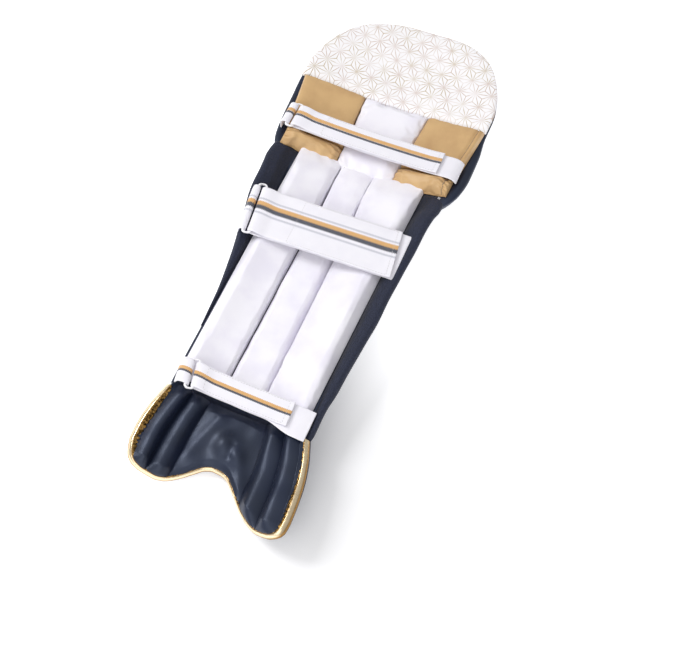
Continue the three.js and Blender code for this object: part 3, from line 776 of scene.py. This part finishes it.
def cloth_folds(x, y, side, end):
    """Folds of cloth over a soft filling: long shallow waves, and short puckers that fade from the seams."""
    waves = softness("cloth waves", x, y * WAVE_DRAW)
    puckers = softness("cloth puckers", x * PUCKER_DRAW, y) * bell(side, PUCKER_RUN)
    hems = softness("cloth hems", x, y * PUCKER_DRAW) * bell(end, HEM_RUN)
    return waves + puckers + hems


def lining_pad(name, slot, edges, low, high, height, square, fill, end_height=None, lap=0, margin=False):
    """Pad on the lining: a superellipse crown across and along over the trough, with its cover's softness."""
    along, across = grid(eased(PAD_ROWS), eased(PAD_COLUMNS))
    left = lerp(low[0], high[0], along)
    right = lerp(low[1], high[1], along)
    x = lerp(left, right, across)
    first = edge_at(edges[0], x) + SEAM / 2 - lap * (1 + softness("lap", x))
    last = edge_at(edges[1], x) - SEAM / 2
    y = lerp(first, last, along)
    start = EDGES[edges[0]][0]
    full = lerp(end_height or height, height, smoothstep(y, start + END_FLAT, start + END_RISE))
    runs_under = "bolster" in name
    arch = crown(across, square[0]) * crown(along / (2 if runs_under else 1), square[1])
    if runs_under:
        arch = arch * (1 - TOP_SINK * smoothstep(y, last - TOP_RUN, last))
    side = np.minimum(across, 1 - across) * (right - left)
    end = np.minimum(along, 1 - along) * (last - first)
    if "roll" in name:
        share, soft = roll_gathers(x, y, along, side)
        full = full * (1 + share)
    elif slot == "white_cloth":
        soft = cloth_folds(x, y, side, end)
    else:
        soft = softness("leather", x, y) + softness("leather hems", x, y) * bell(end, LEATHER_HEM_RUN)
    if margin:
        soft = soft - MARGIN_DIP * bell((across - across[0, -MARGIN_COLUMN]) * (right - left), MARGIN_WIDTH)
    upper = on_lining(x, y, GAP + PAD_EDGE + (full - PAD_EDGE) * arch + soft * np.sqrt(arch))
    lower = on_lining(x, y, GAP)
    return add_piece(name + "_cover", slab(upper, lower), slot, name)


# Swelling of the soft covers
COVER_FRAMES = 16
COVER_PRESSURE = 4
COVER_STIFF = 6
COVER_SLACK = {"knee_panel": -0.022, "knee_roll": -0.02, "bolster": -0.004}
COVER_TRAVEL = {"knee_panel": 3, "knee_roll": 3, "bolster": 2}
LEAST_TRAVEL = 1e-9


def coordinates(mesh):
    """Points of a mesh as rows of three."""
    values = np.empty(3 * len(mesh.vertices), np.float32)
    mesh.vertices.foreach_get("co", values)
    return values.reshape(-1, 3)


def of_kind(table, cover):
    """Value for the kind of pad that a cover's name starts with."""
    return next(value for kind, value in table.items() if cover.name.startswith(kind))


def swell(covers):
    """Cloth simulation: pressure fills each closed cover, cut a little too large, while its underside and its
    rim are held. The travel of each point is capped, and the result becomes the mesh."""
    count = PAD_ROWS * PAD_COLUMNS
    number = np.arange(count).reshape(PAD_ROWS, PAD_COLUMNS)
    rim = np.concatenate([number[0], number[-1], number[1:-1, 0], number[1:-1, -1]])
    for cover in covers:
        held = cover.vertex_groups.new(name="held")
        held.add(np.concatenate([rim, count + np.arange(count)]).tolist(), 1.0, "REPLACE")
        cloth = cover.modifiers.new("swell", "CLOTH")
        cloth.settings.vertex_group_mass = "held"
        cloth.settings.use_pressure = True
        cloth.settings.uniform_pressure_force = COVER_PRESSURE
        cloth.settings.bending_stiffness = COVER_STIFF
        cloth.settings.shrink_min = of_kind(COVER_SLACK, cover)
        cloth.settings.effector_weights.gravity = 0
        cloth.collision_settings.use_collision = False
        cloth.point_cache.frame_end = COVER_FRAMES
    for step in range(1, COVER_FRAMES + 1):
        bpy.context.scene.frame_set(step)
    graph = bpy.context.evaluated_depsgraph_get()
    ends = [coordinates(cover.evaluated_get(graph).data) for cover in covers]
    for cover, end in zip(covers, ends):
        start = coordinates(cover.data)
        moved = end - start
        travel = np.linalg.norm(moved, axis=1, keepdims=True)
        share = np.minimum(1, of_kind(COVER_TRAVEL, cover) / METRE / np.maximum(travel, LEAST_TRAVEL))
        cover.modifiers.clear()
        cover.vertex_groups.clear()
        cover.data.vertices.foreach_set("co", (start + moved * share).ravel())
        cover.data.update()
    bpy.context.scene.frame_set(1)


pad_covers = [lining_pad(**pad) for pad in PADS]
swell([cover for cover in pad_covers if "knee_pad" not in cover.name])
for cover in pad_covers:
    finer = cover.modifiers.new("finer", "SUBSURF")
    finer.levels = 1
    finer.render_levels = 1

# Side flaps: rows, steps across, shares of the reach where the lean turns to the wall and to the outer band,
# share that the free edge rounds over, and how far it closes
WING_ROWS = 130
WING_STEPS = 34
WALL_TURN = (0, 0.3)
BAND_TURN = (0.4, 0.75)
WING_ROUND = 0.16
WING_CLOSE = 0.97


def side_flap(table, side):
    """Flap that grows out of the rim of the shin: its lean goes from the trough's own angle to that of the
    wall, then to that of the outer band. Its thickness closes in a half ellipse at the free edge, and it
    waves along the pad."""
    y, out = grid(np.linspace(table[0, 0], table[-1, 0], WING_ROWS), eased(WING_STEPS))
    reach = value_at(table, y)
    near = np.clip(y, SHIN_LOW, SHIN_HIGH)
    half = np.abs(across_body(np.full_like(y, side), near))
    root = on_lining(half, near, -value_at(BODY, near, 2) / 2)
    start = trough_angle(half, near)
    thick = np.minimum(WING_THICK, WING_THIN + WING_THICKEN * reach)
    wall = np.radians(value_at(table, y, 2))
    band = np.radians(value_at(table, y, 3))
    lean = lerp(lerp(start, wall, smoothstep(out, *WALL_TURN)), band, smoothstep(out, *BAND_TURN))
    step = np.diff(out, axis=1, prepend=0) * reach
    x = root[..., 0] - WING_BITE * np.cos(start) + np.cumsum(step * np.cos(lean), 1)
    z = root[..., 2] - WING_BITE * np.sin(start) + np.cumsum(step * np.sin(lean), 1)
    ending = np.clip((out - 1 + WING_ROUND) / WING_ROUND, 0, 1)
    off = thick / 2 * np.sqrt(1 - WING_CLOSE * ending ** 2)
    wave = softness("flap", y) * out
    inner, outer = (
        np.stack([side * (x - lift * np.sin(lean)), y, z + lift * np.cos(lean)], -1)[:, ::side]
        for lift in (off - wave, -off - wave)
    )
    flat = np.stack([out, y], -1)[:, ::side].reshape(-1, 2)
    return slab(inner, outer), np.concatenate([flat, flat])


for flap_name, flap_table, flap_side in (("left", WING_LEFT, -1), ("right", WING_RIGHT, 1)):
    flap_shape, flap_flat = side_flap(flap_table, flap_side)
    add_piece("flap_" + flap_name, flap_shape, "navy_cloth", "wing_" + flap_name, flat=flap_flat)

# Instep
INSTEP_ROWS = 100
RIB_COLUMNS = [7, 26, 26, 64, 26, 26, 7]
RIB_POWER = 0.9
RIB_FADE_TOE = 0.1
RIB_FADE_ANKLE = 0.16
RIB_END_ANKLE = 1.04
MIDDLE_HALF = VALLEYS[3]
MIDDLE_FLAT = 0.35
INSTEP_TOE_DEPTH = 6.5
INSTEP_SIDE_GAIN = 2.5
INSTEP_CORE_GAIN = 8

# Soft folds of the instep's middle: both ends across and along in millimetres, height, width
DRAPE_FOLDS = [
    ((2, -277), (16, -280), 6.5, 14), ((13, -286), (12, -273), -2.0, 4.5), ((26, -284), (42, -314), 3.0, 7),
    ((-16, -252), (-34, -298), 3.2, 8),
]


def instep_place(across, along):
    """Point of the instep: along runs from the toe edge to the ankle, across is a share of the side there.
    The edge lies a little outside the tables, where the binding grips it."""
    y = lerp(value_at(TOE_EDGE, across) - FLAP_GROW, SHIN_LOW - GAP, along)
    side = np.where(across < 0, value_at(INSTEP_SIDES, y, 1), value_at(INSTEP_SIDES, y, 2))
    return across * (side + FLAP_GROW * (1 - along ** 4)), y


def rib_swell(across):
    """Swell of the ribs: between two valleys a power of the sine, flat outside the outermost valleys."""
    k = np.clip(np.searchsorted(VALLEYS, across) - 1, 0, len(VALLEYS) - 2)
    t = np.clip((across - VALLEYS[k]) / (VALLEYS[k + 1] - VALLEYS[k]), 0, 1)
    return np.sin(np.pi * t) ** RIB_POWER


def ridge(x, y, start, end, height, width):
    """Fold along a straight line: a bell across it that also fades beyond both ends."""
    start = np.array(start, float)
    run = np.array(end, float) - start
    share = ((x - start[0]) * run[0] + (y - start[1]) * run[1]) / (run @ run)
    nearest = np.clip(share, 0, 1)
    distance = np.hypot(x - start[0] - nearest * run[0], y - start[1] - nearest * run[1])
    return height * bell(distance, width)


def instep_flap():
    """Flap over the foot: ribs swell from valley to valley along it, fading at the toe and the ankle, and
    folds spread over the smooth middle."""
    bounds = [-1, *VALLEYS, 1]
    spans = zip(bounds[:-1], bounds[1:], RIB_COLUMNS)
    across = np.concatenate([lerp(low, high, eased(count))[:-1] for low, high, count in spans] + [[1]])
    along, across = grid(eased(INSTEP_ROWS), across)
    x, y = instep_place(across, along)
    fade = np.sqrt(np.clip(np.minimum(along / RIB_FADE_TOE, (RIB_END_ANKLE - along) / RIB_FADE_ANKLE), 0, 1))
    middle = crown(np.clip(across / MIDDLE_HALF / 2 + 0.5, 0, 1), 2)
    drape = sum(ridge(x, y, *fold) for fold in DRAPE_FOLDS) * middle
    ribs = RIB_HEIGHT * rib_swell(across) * fade * (1 - MIDDLE_FLAT * middle)
    soft = softness("instep", x, y) * fade
    upper = on_lining(x, y, INSTEP_EDGE + ribs + (drape + soft) * fade)
    deep = INSTEP_TOE_DEPTH + INSTEP_SIDE_GAIN * along + INSTEP_CORE_GAIN * along ** 2 * (1 - across ** 4)
    lower = on_lining(x, y, -deep)
    lower[..., 2] = np.maximum(lower[..., 2], 0)
    return slab(upper, lower)


add_piece("instep_flap", instep_flap(), "navy_cover", "instep")

# Binding round the free edge of the instep: its top end, steps and points, lift of its margin, how gathers
# move its outside and its margin, and its back
BINDING_TOP = 0.92
BINDING_STEP = 1.2
SIDE_POINTS = 160
TOE_POINTS = 700
ARC_POINTS = 15
LIP_POINTS = 8
LIP_LIFT = 0.5
GATHER_OUT = 0.15
GATHER_MARGIN = 1.2
BACK_IN = 0.3
BACK_DROP = 1
BACK_FOOT = -5

# Inner margin of the binding: share of the way from the left of the ankle to the right, width, crest
BINDING_LIP = np.array([
    (0, 4.0, 2.6), (0.1, 7.6, 3.0), (0.17, 6.4, 2.6), (0.25, 1.8, 2.0), (0.36, 1.2, 1.9), (0.5, 1.2, 1.9),
    (0.66, 1.6, 1.9), (0.74, 3.4, 2.2), (0.82, 4.6, 2.6), (0.88, 3.0, 2.2), (0.94, 1.2, 1.9), (1, 1.2, 1.9),
], float)


def instep_binding():
    """Binding: a half ellipse carried round the free edge, with an inner margin that lies on the flap. Waves
    along the edge gather it, more on the margin than on the outside."""
    down = np.linspace(BINDING_TOP, 0, SIDE_POINTS)[:-1]
    sides = np.ones_like(down)
    across = np.concatenate([-sides, np.linspace(-1, 1, TOE_POINTS), sides])
    along = np.concatenate([down, np.zeros(TOE_POINTS), down[::-1]])
    x, y = instep_place(across, along)
    path, places = along_path(on_lining(x, y, -BINDING_DROP), BINDING_STEP)
    angle = trough_angle(path[:, 0], path[:, 1])
    up = np.stack([-np.sin(angle), 0 * angle, np.cos(angle)], -1)
    out = unit(np.cross(unit(np.gradient(path, axis=0)), up))
    lip, crest = (value_at(BINDING_LIP, places / places[-1], column)[:, None] for column in (1, 2))
    gather = softness("binding", places)[:, None]
    turn = np.radians(np.linspace(-90, 90, ARC_POINTS))[None]
    arc_away = GAP + BINDING_OUT * np.cos(turn) + GATHER_OUT * gather
    arc_level = BINDING_HALF * np.sin(turn) + crest * smoothstep(turn, 0, np.pi / 2)
    inward = np.linspace(0, 1, LIP_POINTS)[None, 1:]
    lip_end = INSTEP_EDGE + BINDING_DROP + LIP_LIFT
    lip_level = lerp(BINDING_HALF + crest, lip_end, inward) + GATHER_MARGIN * gather * inward
    inside = np.full_like(lip, GAP - BACK_IN)
    under = np.full_like(lip, BINDING_HALF - BACK_DROP)
    foot = np.full_like(lip, BACK_FOOT)
    away = np.concatenate([arc_away, GAP - lip * inward, GAP - lip, inside, inside], 1)
    level = np.concatenate([arc_level, lip_level, under, under, foot], 1)
    rings = path[:, None] + out[:, None] * away[..., None] + up[:, None] * level[..., None]
    round_it = np.concatenate([np.linspace(0, 1, ARC_POINTS), 1 + inward[0], [2, 2, 2]])
    flat = np.stack(np.broadcast_arrays(round_it[None], places[:, None]), -1)
    return rod(rings[:, ::-1]), flat[:, ::-1].reshape(-1, 2)


edge_shape, edge_flat = instep_binding()
add_piece("gold_edge", edge_shape, "gold_cover", "instep_binding", flat=edge_flat)

# Straps and tabs: steps and points of their paths, lift of the free end, and how flare, edges and bow run
BAND_STEP = 1.6
BAND_COLUMNS = 26
BAND_SEED = 60
FOLD_POINTS = 25
LAYER_POINTS = 120
END_LIFT = 1.4
END_RUN = 16
FLARE_START = 34
SMOOTHING = 2
SKEW_WEIGHT = 0.001
EDGE_THIN = 0.9
EDGE_POWER = 24
WANDER = 0.006
WANDER_RUN = 30
BOW = 0.25
BOW_RUN = 45


def smooth(values):
    """Running mean over a few steps, with the ends held."""
    count = 2 * SMOOTHING + 1
    return np.convolve(np.pad(values, SMOOTHING, mode="edge"), np.ones(count) / count, "valid")


def turn_round(x, z, first, last, skew):
    """Half turn round a bar: an ellipse in the plane of X and Z."""
    angle = np.radians(np.linspace(first, last, FOLD_POINTS))
    path = [x + FOLD_REACH * np.cos(angle), z + FOLD_RADIUS * np.sin(angle), np.full(FOLD_POINTS, skew)]
    return np.stack(path, -1)


def strap_layer(row, first, last, lift, side):
    """Layer of a strap in X, Z and skew: a parabola, which rises to the upper or lower side of the ring's bar
    and slants with the ring by a smooth step."""
    x = np.linspace(first, last, LAYER_POINTS)
    start = row["ring_x"] + BAR_OFFSET + FOLD_RUN
    rise, slant = (smoothstep(start + run - x, 0, run) for run in (RISE_RUN, SLANT_RUN))
    sag = row["middle_z"] + (row["side_z"] - row["middle_z"]) * (x / row["side_x"]) ** 2
    level = lerp(sag + lift, row["ring_z"] + side * FOLD_RADIUS, rise)
    return np.stack([x, level, -row["turn"] * slant], -1)


def strap_path(row):
    """Path of a strap in X, Z and skew: free end, top layer, turn round the ring's bar, under layer, sewn
    end."""
    bar = row["ring_x"] + BAR_OFFSET
    free = row["free_end"]
    top = strap_layer(row, free, bar + FOLD_RUN, WEBBING + LAYER_GAP, 1)
    top[:, 1] += END_LIFT * smoothstep(top[:, 0], free - END_RUN, free)
    top[:, 2] += row["free_skew"] * smoothstep(top[:, 0], free - SLANT_RUN, free)
    fold = turn_round(bar, row["ring_z"], 90, 270, -row["turn"])
    under = strap_layer(row, bar + FOLD_RUN, row["side_x"] - FOLD_RUN, 0, -1)
    sewn = np.array([(x, z, 0) for x, z in row["sewn"]], float)
    return np.concatenate([top, fold, under, sewn])


def tab_path(row):
    """Path of a tab in X, Z and skew: outside end on the left edge, top layer, turn round the other bar."""
    bar = row["ring_x"] - BAR_OFFSET
    outside = np.array([(x, z, -row["turn"]) for x, z in row["anchor"][::-1]], float)
    fold = turn_round(bar, row["ring_z"], 90, -90, -row["turn"])
    under = np.array([(bar - TAB_UNDER, row["ring_z"] - FOLD_RADIUS, -row["turn"])])
    return np.concatenate([outside, fold, under])


class Band:
    """Flat webbing along a path: evenly stepped places, and their outer normals in X and Z."""

    def __init__(self, row, path, turn):
        self.row = row
        self.turn = turn
        even, self.length = along_path(path * np.array([1, 1, SKEW_WEIGHT]), BAND_STEP)
        self.x = smooth(even[:, 0])
        self.z = smooth(even[:, 1])
        self.skew = even[:, 2] / SKEW_WEIGHT
        run = unit(np.stack([np.gradient(self.x), np.gradient(self.z)], -1))
        self.normal = np.stack([turn * run[:, 1], -turn * run[:, 0]], -1)
        under = np.arange(len(self.x)) > np.argmin(self.x)
        self.flare = row.get("flare", 0) * under * smoothstep(self.x, FLARE_START, row["side_x"])

    def point(self, k, share, lift):
        """Point at path step k, share -1 to 1 across the width, lifted along the outer normal."""
        away = share * self.row["width"] / 2
        x = self.x[k] + self.normal[k, 0] * lift
        y = self.row["y"] + self.row["drift"] * self.x[k] + away - self.flare[k] * np.clip(-share, 0, 1)
        z = self.z[k] + self.normal[k, 1] * lift
        return np.stack(np.broadcast_arrays(x + self.skew[k] * away, y, z), -1)

    def shape(self, seed):
        """Closed band: a flat section with rounded edges at every step, its edges a little uneven."""
        share = 2 * eased(BAND_COLUMNS) - 1
        half = WEBBING / 2 * np.sqrt(1 - EDGE_THIN * np.abs(share) ** EDGE_POWER)
        around = np.concatenate([share, share[::-1]])
        lift = np.concatenate([half, -half[::-1]])
        k = np.arange(len(self.x))[:, None]
        wander = 1 + WANDER * unevenness(self.length, 0, WANDER_RUN, seed)[:, None]
        bow = BOW * unevenness(self.length, 0, BOW_RUN, seed + 1)[:, None] * around ** 2
        rings = self.point(k, around * wander, lift + bow)
        across = (1 - around) / 2 * self.row["width"]
        flat = np.stack(np.broadcast_arrays(self.length[:, None], across), -1)
        outer = np.broadcast_to(lift > 0, rings.shape[:2])
        rings, flat, outer = (values[:, ::self.turn] for values in (rings, flat, outer))
        return rod(rings), flat.reshape(-1, 2), outer.ravel()

    def line(self, steps, shares):
        """Line on the outer face between places along the band and shares across it."""
        k = np.round(np.linspace(*steps, LINE_POINTS)).astype(int)
        return self.point(k, np.linspace(*shares, LINE_POINTS), WEBBING / 2)


# Sewing thread
UP = np.array([0, 0, 1.0])
STITCH_TURNS = 6
STITCH_STEPS = 7
STITCH_FINE = 0.2
STITCH_BLUNT = 1.02
STITCH_ARCH = 0.9
STITCH_PITCH = 3.4
STITCH_LENGTH = 2.4
STITCH_RADIUS = 0.24
LINE_POINTS = 60
SEAM_INSET = 3.6
END_ROW = 4


def stitches(path, pitch, length, radius):
    """Stitches along a line: each is a small arched rod, thick in its middle, one for every pitch."""
    count = max(2, int(lengths(path)[-1] / pitch))
    fine, places = along_path(path, STITCH_FINE)
    middle = np.linspace(0.5, count - 0.5, count) / count * places[-1]
    steps = np.linspace(-1, 1, STITCH_STEPS)
    spine = read_at(fine, places, np.clip(middle[:, None] + steps * length / 2, 0, places[-1]))
    run = unit(np.gradient(spine, axis=1))
    aside = unit(np.cross(run, UP))
    above = np.cross(aside, run)
    thick = radius * np.sqrt(STITCH_BLUNT - steps ** 2)[None, :, None, None]
    arch = radius * STITCH_ARCH * (1 - steps ** 2)[None, :, None, None]
    turn = np.linspace(0, 2 * np.pi, STITCH_TURNS, endpoint=False)[None, None, :, None]
    rings = spine[:, :, None] + aside[:, :, None] * thick * np.cos(turn)
    rings = rings + above[:, :, None] * (thick * np.sin(turn) + arch)
    return together([rod(stitch) for stitch in rings])


def strap_sewing(band):
    """Stitches of the fastening's facing: a row across near the free end, one far from it, and one along each
    edge between the two."""
    inset = 1 - SEAM_INSET / band.row["width"]
    far = int(np.argmax(band.x < band.row["far_row"]))
    rows = [
        ((END_ROW, END_ROW), (-inset, inset)), ((far, far), (-inset, inset)),
        ((END_ROW, far), (inset, inset)), ((END_ROW, far), (-inset, -inset)),
    ]
    sewn = [stitches(band.line(*row), STITCH_PITCH, STITCH_LENGTH, STITCH_RADIUS) for row in rows]
    return together(sewn)


for number, (strap_name, strap_row) in enumerate(STRAPS.items()):
    stripes = webbing(strap_name + "_webbing", strap_row["width"], STRIPES[strap_name])
    strap_band = Band(strap_row, strap_path(strap_row), 1)
    tab_band = Band(strap_row, tab_path(strap_row), -1)
    for part, band in (("strap", strap_band), ("tab", tab_band)):
        band_shape, band_flat, band_outer = band.shape(BAND_SEED + number)
        add_piece(f"{strap_name}_{part}_band", band_shape, "webbing", f"{strap_name}_{part}", flat=band_flat,
                  outer=band_outer, finish=stripes)
    add_piece(f"{strap_name}_sewing", strap_sewing(strap_band), "webbing", finish=FINISHES["white_thread"])

# Seams and tacks of the knee pads: each dark tack by its cover, its row and its column
TACKS = [
    ("knee_panel", 1, 12), ("knee_panel", 1, 34), ("knee_roll_left", 2, 38), ("knee_roll_right", 3, 5),
    ("knee_pad_right", -4, -8), ("knee_pad_left", -3, 7),
]
TACK_ROWS = 3
TACK_SIZE = dict(pitch=4, length=4, radius=0.6)
MARGIN_ENDS = 6
MARGIN_SIZE = dict(pitch=STITCH_LENGTH, length=STITCH_LENGTH, radius=0.5)

# White tack on the right flap: its place, and the arms of its cross
WHITE_TACK = (107, 108, 52)
CROSS_ARMS = np.array([
    [(-2, -1, 0.4), (0, 0, 0.6), (2, 1, 0.4)],
    [(-1, 2, 0.4), (0, 0, 0.6), (1, -2, 0.4)],
])


def placed(name):
    """Points of a piece in millimetres of the design frame."""
    return coordinates(bpy.data.objects[name].data) * METRE - SHIFT


def upper_grid(name):
    """Upper points of a pad's cover, as rows and columns."""
    return placed(name + "_cover")[:PAD_ROWS * PAD_COLUMNS].reshape(PAD_ROWS, PAD_COLUMNS, 3)


def tack(name, row, column):
    """One short stitch on a cover, along its column."""
    row = row % PAD_ROWS
    return stitches(upper_grid(name)[max(0, row - TACK_ROWS):row + TACK_ROWS + 1, column], **TACK_SIZE)


def margin_seam(name):
    """Stitches in the groove of a pad's margin, from one end to the other."""
    return stitches(upper_grid(name)[MARGIN_ENDS:-MARGIN_ENDS, -MARGIN_COLUMN], **MARGIN_SIZE)


def crossed_tack(name, place):
    """Two crossed stitches on a piece, at its point nearest to a place."""
    points = placed(name)
    nearest = points[np.argmin(np.linalg.norm(points - np.array(place), axis=1))]
    return together([stitches(nearest + arm, **TACK_SIZE) for arm in CROSS_ARMS])


margin_threads = together([margin_seam(pad["name"]) for pad in PADS if pad.get("margin")])
tack_threads = together([tack(*place) for place in TACKS])
add_piece("flap_tack", crossed_tack("flap_right", WHITE_TACK), "webbing", finish=FINISHES["white_thread"])
add_piece("margin_seam", margin_threads, "tan_leather", finish=FINISHES["tan_thread"])
add_piece("pad_tacks", tack_threads, "tan_leather", finish=FINISHES["dark_thread"])

# Rings
RING_AROUND = 160
RING_SECTION = 20
RING_SQUARE = 0.55
CORNER_POINTS = 12
CORNER_NUDGE = 1e-6


def ring_outline(half_x, half_y, corner):
    """Even walk round a rounded rectangle: four straight sides and four quarter circles."""
    turn = np.linspace(0, 2 * np.pi, 4 * CORNER_POINTS, endpoint=False)
    quarter = np.stack([np.cos(turn + CORNER_NUDGE), np.sin(turn + CORNER_NUDGE)], -1)
    arc = np.stack([np.cos(turn), np.sin(turn)], -1) * corner
    loop = arc + np.sign(quarter) * (half_x - corner, half_y - corner)
    loop = np.concatenate([loop, loop[:1]])
    length = lengths(loop)
    return read_at(loop, length, np.linspace(0, length[-1], RING_AROUND, endpoint=False))


def squared(value):
    """Sine or cosine for a squarish section: a power of its size, with its sign."""
    return np.sign(value) * np.abs(value) ** RING_SQUARE


def strap_ring(row):
    """Moulded ring: a squarish superellipse section stretched between its outer outline and the slot's."""
    half_x = RING_SLOT / 2
    half_y = row["width"] / 2 + row["overhang"] - RING_TRIM
    outer = ring_outline(half_x + RING_BAR, half_y, RING_CORNER)
    inner = ring_outline(half_x, half_y - RING_END, SLOT_CORNER)
    middle = (outer + inner) / 2
    half = (outer - inner) / 2
    turn = np.linspace(0, 2 * np.pi, RING_SECTION, endpoint=False)
    flat = middle[:, None] + half[:, None] * squared(np.cos(turn))[None, :, None]
    level = np.broadcast_to(RING_THICK / 2 * squared(np.sin(turn)), flat.shape[:2])
    lean = np.arctan(row["turn"])
    x = row["ring_x"] + flat[..., 0] * np.cos(lean) - flat[..., 1] * np.sin(lean)
    middle_y = row["y"] + row["drift"] * row["ring_x"] + row["ring_shift"]
    y = middle_y + flat[..., 0] * np.sin(lean) + flat[..., 1] * np.cos(lean)
    return rod(np.stack([x, y, row["ring_z"] + level], -1)[:, ::-1], ends=False)


for strap_name, strap_row in STRAPS.items():
    add_piece(f"{strap_name}_slider", strap_ring(strap_row), "white_plastic", f"{strap_name}_ring")

# Floor, light and camera; each light has a place, a size and a power
FLOOR_SIDE = 8
LIGHTS = {
    "key": ((-1.3, -0.2, 1.6), 0.75, 19),
    "top": ((0.1, -0.3, 2.2), 2.4, 6),
    "front": ((0.3, -2, 1.5), 2.2, 20),
}
WORLD_STRENGTH = 0.52
CAMERA_AZIMUTH = np.radians(23.6)
CAMERA_ELEVATION = np.radians(58)
CAMERA_DISTANCE = 1.2663
CAMERA_TARGET = Vector((np.array([8.14, -53.8, 36.2]) + SHIFT) / METRE)
CAMERA_LENS = 55.38
SENSOR_WIDTH = 36
TARGET_PIXEL = (311, 282)
IMAGE_SIZE = (700, 658)
# Painted shadow on the floor: its middle, and where its fading begins and ends
SHADOW_PLACE = (0.15, -0.265)
SHADOW_NEAR = 0.05
SHADOW_FAR = 0.25


def pale_floor():
    """Pale floor: nearly white, with faint clouds, and glowing from within like a studio sweep, except in a
    soft patch on the shaded side of the instep, where a painted shadow dims the glow."""
    finish = Finish("pale_floor", roughness=0.9, emission_strength=1.0)
    x, y = finish.across(finish.place())
    away = ((x - SHADOW_PLACE[0]) ** 2 + (y - SHADOW_PLACE[1]) ** 2) ** 0.5
    unshadowed = finish.between(away, SHADOW_NEAR, SHADOW_FAR)
    # Painted shadow: the glow is dark near the instep and full further away
    finish.feed("Emission Color", finish.blend(unshadowed, "#464648", "#dcdcde"))
    finish.feed("Base Color", finish.blend(finish.noise(400), "#f8f8f9", "#f4f4f6"))
    return finish.material


def add_floor():
    """Flat square floor under the pad."""
    half = FLOOR_SIDE / 2
    mesh = bpy.data.meshes.new("floor")
    corners = [(-half, -half, 0), (half, -half, 0), (half, half, 0), (-half, half, 0)]
    mesh.from_pydata(corners, [], [(0, 1, 2, 3)])
    mesh.materials.append(pale_floor())
    floor = bpy.data.objects.new("floor", mesh)
    bpy.context.scene.collection.objects.link(floor)


def add_light(name, place, size, power):
    """Square soft light that faces the middle of the floor."""
    lamp = bpy.data.lights.new(name, "AREA")
    lamp.size = size
    lamp.energy = power
    light = bpy.data.objects.new(name, lamp)
    light.location = place
    light.rotation_euler = (-Vector(place)).to_track_quat("-Z", "Y").to_euler()
    bpy.context.scene.collection.objects.link(light)


def add_camera():
    """Camera at the photograph's angle, shifted so that its target shows at the right place of the frame."""
    lens = bpy.data.cameras.new("camera")
    lens.lens = CAMERA_LENS
    lens.sensor_width = SENSOR_WIDTH
    lens.sensor_fit = "HORIZONTAL"
    lens.shift_x = (IMAGE_SIZE[0] / 2 - TARGET_PIXEL[0]) / IMAGE_SIZE[0]
    lens.shift_y = (TARGET_PIXEL[1] - IMAGE_SIZE[1] / 2) / IMAGE_SIZE[0]
    back = Vector((
        np.sin(CAMERA_AZIMUTH) * np.cos(CAMERA_ELEVATION),
        -np.cos(CAMERA_AZIMUTH) * np.cos(CAMERA_ELEVATION),
        np.sin(CAMERA_ELEVATION),
    ))
    camera = bpy.data.objects.new("camera", lens)
    camera.location = CAMERA_TARGET + back * CAMERA_DISTANCE
    camera.rotation_euler = (-back).to_track_quat("-Z", "Y").to_euler()
    bpy.context.scene.collection.objects.link(camera)
    bpy.context.scene.camera = camera


add_floor()
for light_name, light_row in LIGHTS.items():
    add_light(light_name, *light_row)
add_camera()

world = bpy.data.worlds.new("studio")
world.use_nodes = True
world.node_tree.nodes["Background"].inputs["Color"].default_value = linear("#ffffff")
world.node_tree.nodes["Background"].inputs["Strength"].default_value = WORLD_STRENGTH
bpy.context.scene.world = world
bpy.context.scene.view_settings.view_transform = "Standard"
